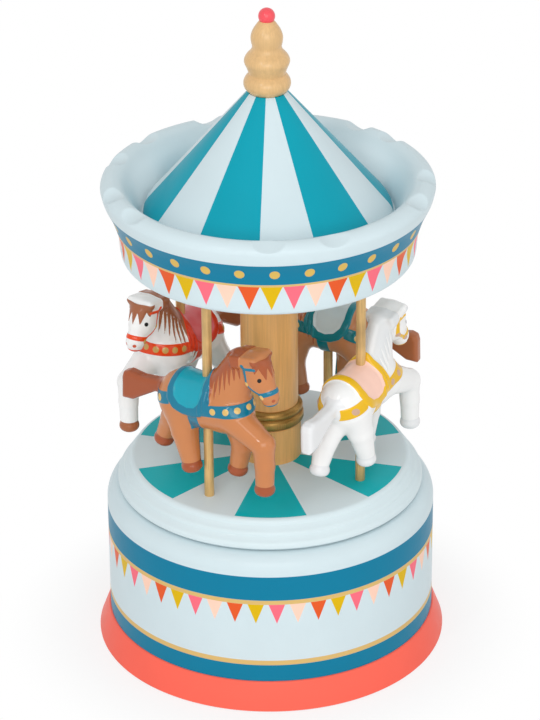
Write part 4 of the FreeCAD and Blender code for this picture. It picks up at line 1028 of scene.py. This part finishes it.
def skin_point(direction_deg, z):
    """Where a level ray from inside the chest leaves the horse."""
    out = np.arange(*CHEST_RAY)
    turn = math.radians(direction_deg)
    s, w = CHEST_S + out * math.cos(turn), out * math.sin(turn)
    outside = bare_horse((s, w, np.full_like(out, z))) > 0
    first = int(np.argmax(outside))
    return s[first], w[first], z


def stud_field(s, w, z):
    """Positive on the gilt studs of the straps and the bridle's rosettes."""
    field = np.full(np.shape(s), OUTSIDE)
    for turn in CHEST_STUDS_DEG:
        near = skin_point(turn, CHEST_STUD_Z)
        spot = skin_point(turn, slant(near[0], *BREAST_LINE))
        far = np.sqrt((s - spot[0]) ** 2 + (w - spot[1]) ** 2 + (z - spot[2]) ** 2)
        field = np.maximum(field, STUD_R - far)
    for (u, v), radius in ((REAR_STUD, STUD_R), (ROSETTES[0], ROSETTE_R), (ROSETTES[1], ROSETTE_R)):
        field = np.maximum(field, radius - np.hypot(s - u, z - v))
    return field


def hoof_field(s, w, z):
    start, reach = HOOF_PAINT
    field = np.full(np.shape(s), OUTSIDE)
    for side, stations, way in LEGS:
        along, aside = hoof_places((s, w, z), side, stations[-1], way)
        field = np.maximum(field, np.minimum(along + HOOF_H / 2 - start, HOOF_R + reach - aside))
    return field


def eye_field(s, w, z):
    return np.minimum(EYE_R - np.hypot((s - EYE[0]) * EYE_SQUEEZE, z - EYE[1]), np.abs(w) - EYE_W)


def nostril_field(s, w, z):
    u, v, height = NOSTRIL
    aside = (np.abs(w) - v) * NOSTRIL_SQUEEZE
    return NOSTRIL_R - np.sqrt((s - u) ** 2 + aside ** 2 + (z - height) ** 2)


def horse_fields(p):
    """The paint fields of the horse, each positive where its paint lies."""
    s, w, z = p
    tail = np.minimum(outline(s, z, TAIL) + TAIL_PAINT_REACH, TAIL_PAINT_S - s)
    return {
        "saddle": outline(s, z, SADDLE),
        "seat": outline(s, z, SEAT),
        "strap": strap_field(s, w, z),
        "stud": stud_field(s, w, z),
        "mane": np.maximum(mane_field(s, w, z), forelock_field(s, w, z)),
        "dark": np.maximum(hoof_field(s, w, z), tail),
        "eye": eye_field(s, w, z),
        "nostril": nostril_field(s, w, z),
    }


def dressed_horse(p):
    """The horse with its saddle, straps, studs and mane raised from the wood."""
    fields = horse_fields(p)
    raised = {name: height * ramp(fields[name], *edge) for name, (height, *edge) in RELIEF.items()}
    tack = np.maximum(raised["saddle"] + raised["seat"], raised["strap"])
    return bare_horse(p) - tack - sum(raised[name] for name in ("stud", "mane", "nostril", "eye"))


CELL_CORNERS = ((1, 1), (0, 1), (0, 0), (1, 0))


def surface_nets(values, origin, step):
    """Vertices and quads of a grid's zero surface: one vertex in each crossed cell."""
    shape = np.array(values.shape) - 1
    total, count = np.zeros((*shape, 3)), np.zeros(shape)
    for axis in range(3):
        for a, b in CELL_CORNERS:
            near, far = np.insert([a, b], axis, 0), np.insert([a, b], axis, 1)
            low, high = [values[tuple(slice(c, c + n) for c, n in zip(end, shape))] for end in (near, far)]
            cross = (low < 0) != (high < 0)
            share = np.where(cross, low / np.where(cross, low - high, 1.0), 0.0)
            for k in range(3):
                total[..., k] += np.where(cross, share if k == axis else near[k], 0.0)
            count += cross
    crossed = count > 0
    index = np.full(shape, -1)
    index[crossed] = np.arange(crossed.sum())
    cells = np.argwhere(crossed) + total[crossed] / count[crossed][:, None]
    vertices = np.asarray(origin) + cells * step
    faces = []
    for axis in range(3):
        u, v = (axis + 1) % 3, (axis + 2) % 3
        inner = [slice(1, -1)] * 3
        inner[axis] = slice(0, -1)
        after = list(inner)
        after[axis] = slice(1, None)
        low, high = values[tuple(inner)] < 0, values[tuple(after)] < 0
        for leaving in (True, False):
            spots = np.argwhere((low != high) & (low == leaving))
            spots[:, u] += 1
            spots[:, v] += 1
            ring = []
            for du, dv in CELL_CORNERS:
                cell = spots.copy()
                cell[:, u] -= du
                cell[:, v] -= dv
                ring.append(index[tuple(cell.T)])
            faces.append(np.stack(ring if leaving else ring[::-1], axis=1))
    return vertices, np.concatenate(faces)


def carve_horse():
    """Vertices, quads and paint fields of the one carved horse."""
    sides = [np.arange(low, high, GRID, dtype=np.float32) for low, high in zip(HORSE_LOW, HORSE_HIGH)]
    grid = np.meshgrid(*sides, indexing="ij")
    values = dressed_horse(grid)
    vertices, faces = surface_nets(values, HORSE_LOW, GRID)
    fields = horse_fields([vertices[:, i] for i in range(3)])
    return vertices, faces, fields


HORSE_FIELDS = ("body", "mane", "dark", "strap", "saddle", "seat", "stud", "nostril", "eye")
HORSE_PAINTS = {
    "horse_1": ("c67f4d", "a4532c", "a1502b", "007592", "007592", "009cb0", "dcb66a", "b0552f", "15110f"),
    "horse_2": ("efefee", "dfe1e2", "e4e5e6", "e6b400", "e8b600", "f9cdbb", "c9a48a", "d0a8a0", "15110f"),
    "horse_3": ("bf8258", "a0552f", "ab6238", "00747e", "007883", "c2d2d6", "dcb66a", "b0552f", "15110f"),
    "horse_4": ("f1f1f0", "9f5f3d", "a5603a", "e8460f", "dd3a14", "dc5f63", "caa35a", "d0532f", "15110f"),
}
FIELD_SOFT = 0.05


def horse_material(name, paints):
    """Glossy lacquer in the horse's own paints, each laid over the body's where its field is positive."""
    graph = Graph(name)
    colour = linear(paints[0])
    for field, paint in zip(HORSE_FIELDS[1:], paints[1:]):
        mask = graph.step(graph.attribute(field), 0.0, FIELD_SOFT)
        colour = graph.mix(mask, colour, linear(paint))
    return lacquer(graph, colour, coat=0.6, roughness=0.36, specular=0.1)


# How each horse sits on its pole, in degrees: nose up, and turned about the pole
HORSE_TILTS = {"horse_1": (0.0, 0.0), "horse_2": (3.0, 0.0), "horse_3": (0.0, -10.0), "horse_4": (0.0, 3.0)}
TILT_Z = BELLY[0][2]


def tilted(vertices, nose_up, turn):
    """The horse's own (s, w, z) points after it is tipped and turned on its pole."""
    s, w, z = vertices[:, 0], vertices[:, 1], vertices[:, 2] - TILT_Z
    c, n = math.cos(math.radians(nose_up)), math.sin(math.radians(nose_up))
    s, z = s * c - z * n, s * n + z * c
    c, n = math.cos(math.radians(turn)), math.sin(math.radians(turn))
    return np.stack([s * c - w * n, s * n + w * c, z + TILT_Z], axis=1)


def build_horses():
    vertices, faces, fields = carve_horse()
    turned = faces[:, ::-1].tolist()
    sole_z = box_mm(HORSE_NODES[0])[0].z
    for pole_node, node in zip(POLE_NODES, HORSE_NODES):
        lift = box_mm(node)[0].z - sole_z
        low, high = box_mm(pole_node)
        middle = (low + high) / 2
        outward = Vector((middle.x, middle.y)).normalized()
        forward = Vector((-outward.y, outward.x))
        own = tilted(vertices, *HORSE_TILTS[node])
        placed = np.empty_like(own)
        placed[:, 0] = middle.x + own[:, 0] * forward.x + own[:, 1] * outward.x
        placed[:, 1] = middle.y + own[:, 0] * forward.y + own[:, 1] * outward.y
        placed[:, 2] = own[:, 2] + lift
        paint = horse_material(f"{node}_paint", HORSE_PAINTS[node])
        piece = add_mesh(f"{node}_carved", placed, turned, paint)
        for name, values in fields.items():
            layer = piece.data.attributes.new(name, "FLOAT", "POINT")
            layer.data.foreach_set("value", values.astype(np.float32))
        record_slot = "horse_brown" if node in ("horse_1", "horse_3") else "horse_white"
        place(piece, "carousel", record_slot, node)


# Hidden and underside pieces keep their CAD shape

def dress_cad_nodes():
    looks = {
        "steel": metal_material("steel_brushed", STEEL, 0.32),
        "brass": metal_material("brass_turned", BRASS, 0.30),
        "zinc": metal_material("zinc_cast", ZINC, 0.48),
        "board": wood_material("board_wood", BOARD_WOOD, contrast=0.3, coat=0.0),
    }
    for part in frame["record"]["subparts"]:
        if part["material_slot"] in looks:
            materials = frame["nodes"][part["node"]].data.materials
            materials.clear()
            materials.append(looks[part["material_slot"]])


# Studio

CAMERA_BACK = 989.84
CAMERA_UP = 607.43
CAMERA_AIM_Z = 97.95
CAMERA_ROLL_DEG = 0.45
CAMERA_LENS = 171.84
CAMERA_SHIFT = 0.0009
SENSOR = 36.0


def aimed(here, aim):
    """Placement of a camera or lamp that looks from one point to another."""
    return Matrix.Translation(here) @ (aim - here).to_track_quat("-Z", "Y").to_matrix().to_4x4()


def build_camera():
    data = bpy.data.cameras.new("camera")
    data.lens = CAMERA_LENS
    data.sensor_width = SENSOR
    data.sensor_fit = "AUTO"
    data.shift_x = CAMERA_SHIFT
    camera = add_object("camera", data)
    here = Vector((0, -CAMERA_BACK, CAMERA_UP)) * MM
    aim = Vector((0, 0, CAMERA_AIM_Z)) * MM
    roll = Matrix.Rotation(math.radians(-CAMERA_ROLL_DEG), 4, "Z")
    camera.matrix_world = aimed(here, aim) @ roll
    bpy.context.scene.camera = camera


def area_light(name, place_mm, aim_mm, size_mm, power):
    data = bpy.data.lights.new(name, "AREA")
    data.shape = "RECTANGLE"
    data.size, data.size_y = size_mm[0] * MM, size_mm[1] * MM
    data.energy = power
    here, aim = Vector(place_mm) * MM, Vector(aim_mm) * MM
    add_object(name, data).matrix_world = aimed(here, aim)


WORLD_LIGHT = 0.7
FLOOR_REACH = 3000.0
FLOOR_DROP = 0.2
SHADOW_REACH = (60.0, 92.0)  # the floor's shading fades to white between these distances from the axis
SHADOW_SPREAD = (-0.25, 0.0)  # how much less than full that white is, near the foot and far out


def build_world():
    world = bpy.data.worlds.new("studio")
    bpy.context.scene.world = world
    world.use_nodes = True
    graph = Tree(world.node_tree)
    soft = graph.fill(graph.tree.nodes["Background"], {"Color": WHITE, "Strength": WORLD_LIGHT})
    white = graph.node("ShaderNodeBackground", {"Color": WHITE, "Strength": 1.0})
    graph.blend(graph.seen_rays(), soft.outputs[0], white.outputs[0], "World Output")


def build_floor():
    """White paper that keeps the shadow round the foot."""
    graph = Graph("floor_white")
    graph.finish(FLOOR_GREY, 0.8)
    near, far = SHADOW_REACH
    fade = graph.step(graph.radius(), (near + far) / 2, (far - near) / 2)
    glow = graph.node("ShaderNodeEmission", {"Color": WHITE, "Strength": 1.0})
    share = graph.times(graph.seen_rays(), graph.spread(fade, 1.0, SHADOW_SPREAD))
    graph.blend(share, graph.shader.outputs[0], glow.outputs[0], "Material Output")
    square = ((-1, -1), (1, -1), (1, 1), (-1, 1))
    corners = [(a * FLOOR_REACH, b * FLOOR_REACH, -FLOOR_DROP) for a, b in square]
    add_mesh("floor", corners, [(0, 1, 2, 3)], graph.material)


# Lamps: name, place, aim, size, power in watts
LAMPS = (
    ("key", (-420, -620, 760), (0, 0, 110), (80, 240), 0.8),
    ("front", (0, -880, 520), (0, 0, 100), (700, 450), 3.2),
    ("fill", (640, -420, 420), (0, 0, 110), (500, 600), 0.4),
    ("top", (60, 120, 900), (0, 0, 130), (500, 500), 0.1),
)


def build_studio():
    bpy.context.scene.view_settings.view_transform = "Standard"
    build_world()
    build_floor()
    for lamp in LAMPS:
        area_light(*lamp)


build_foot()
build_drum()
build_deck()
build_column()
build_canopy()
build_cone()
build_finial()
build_poles()
build_horses()
dress_cad_nodes()
build_camera()
build_studio()
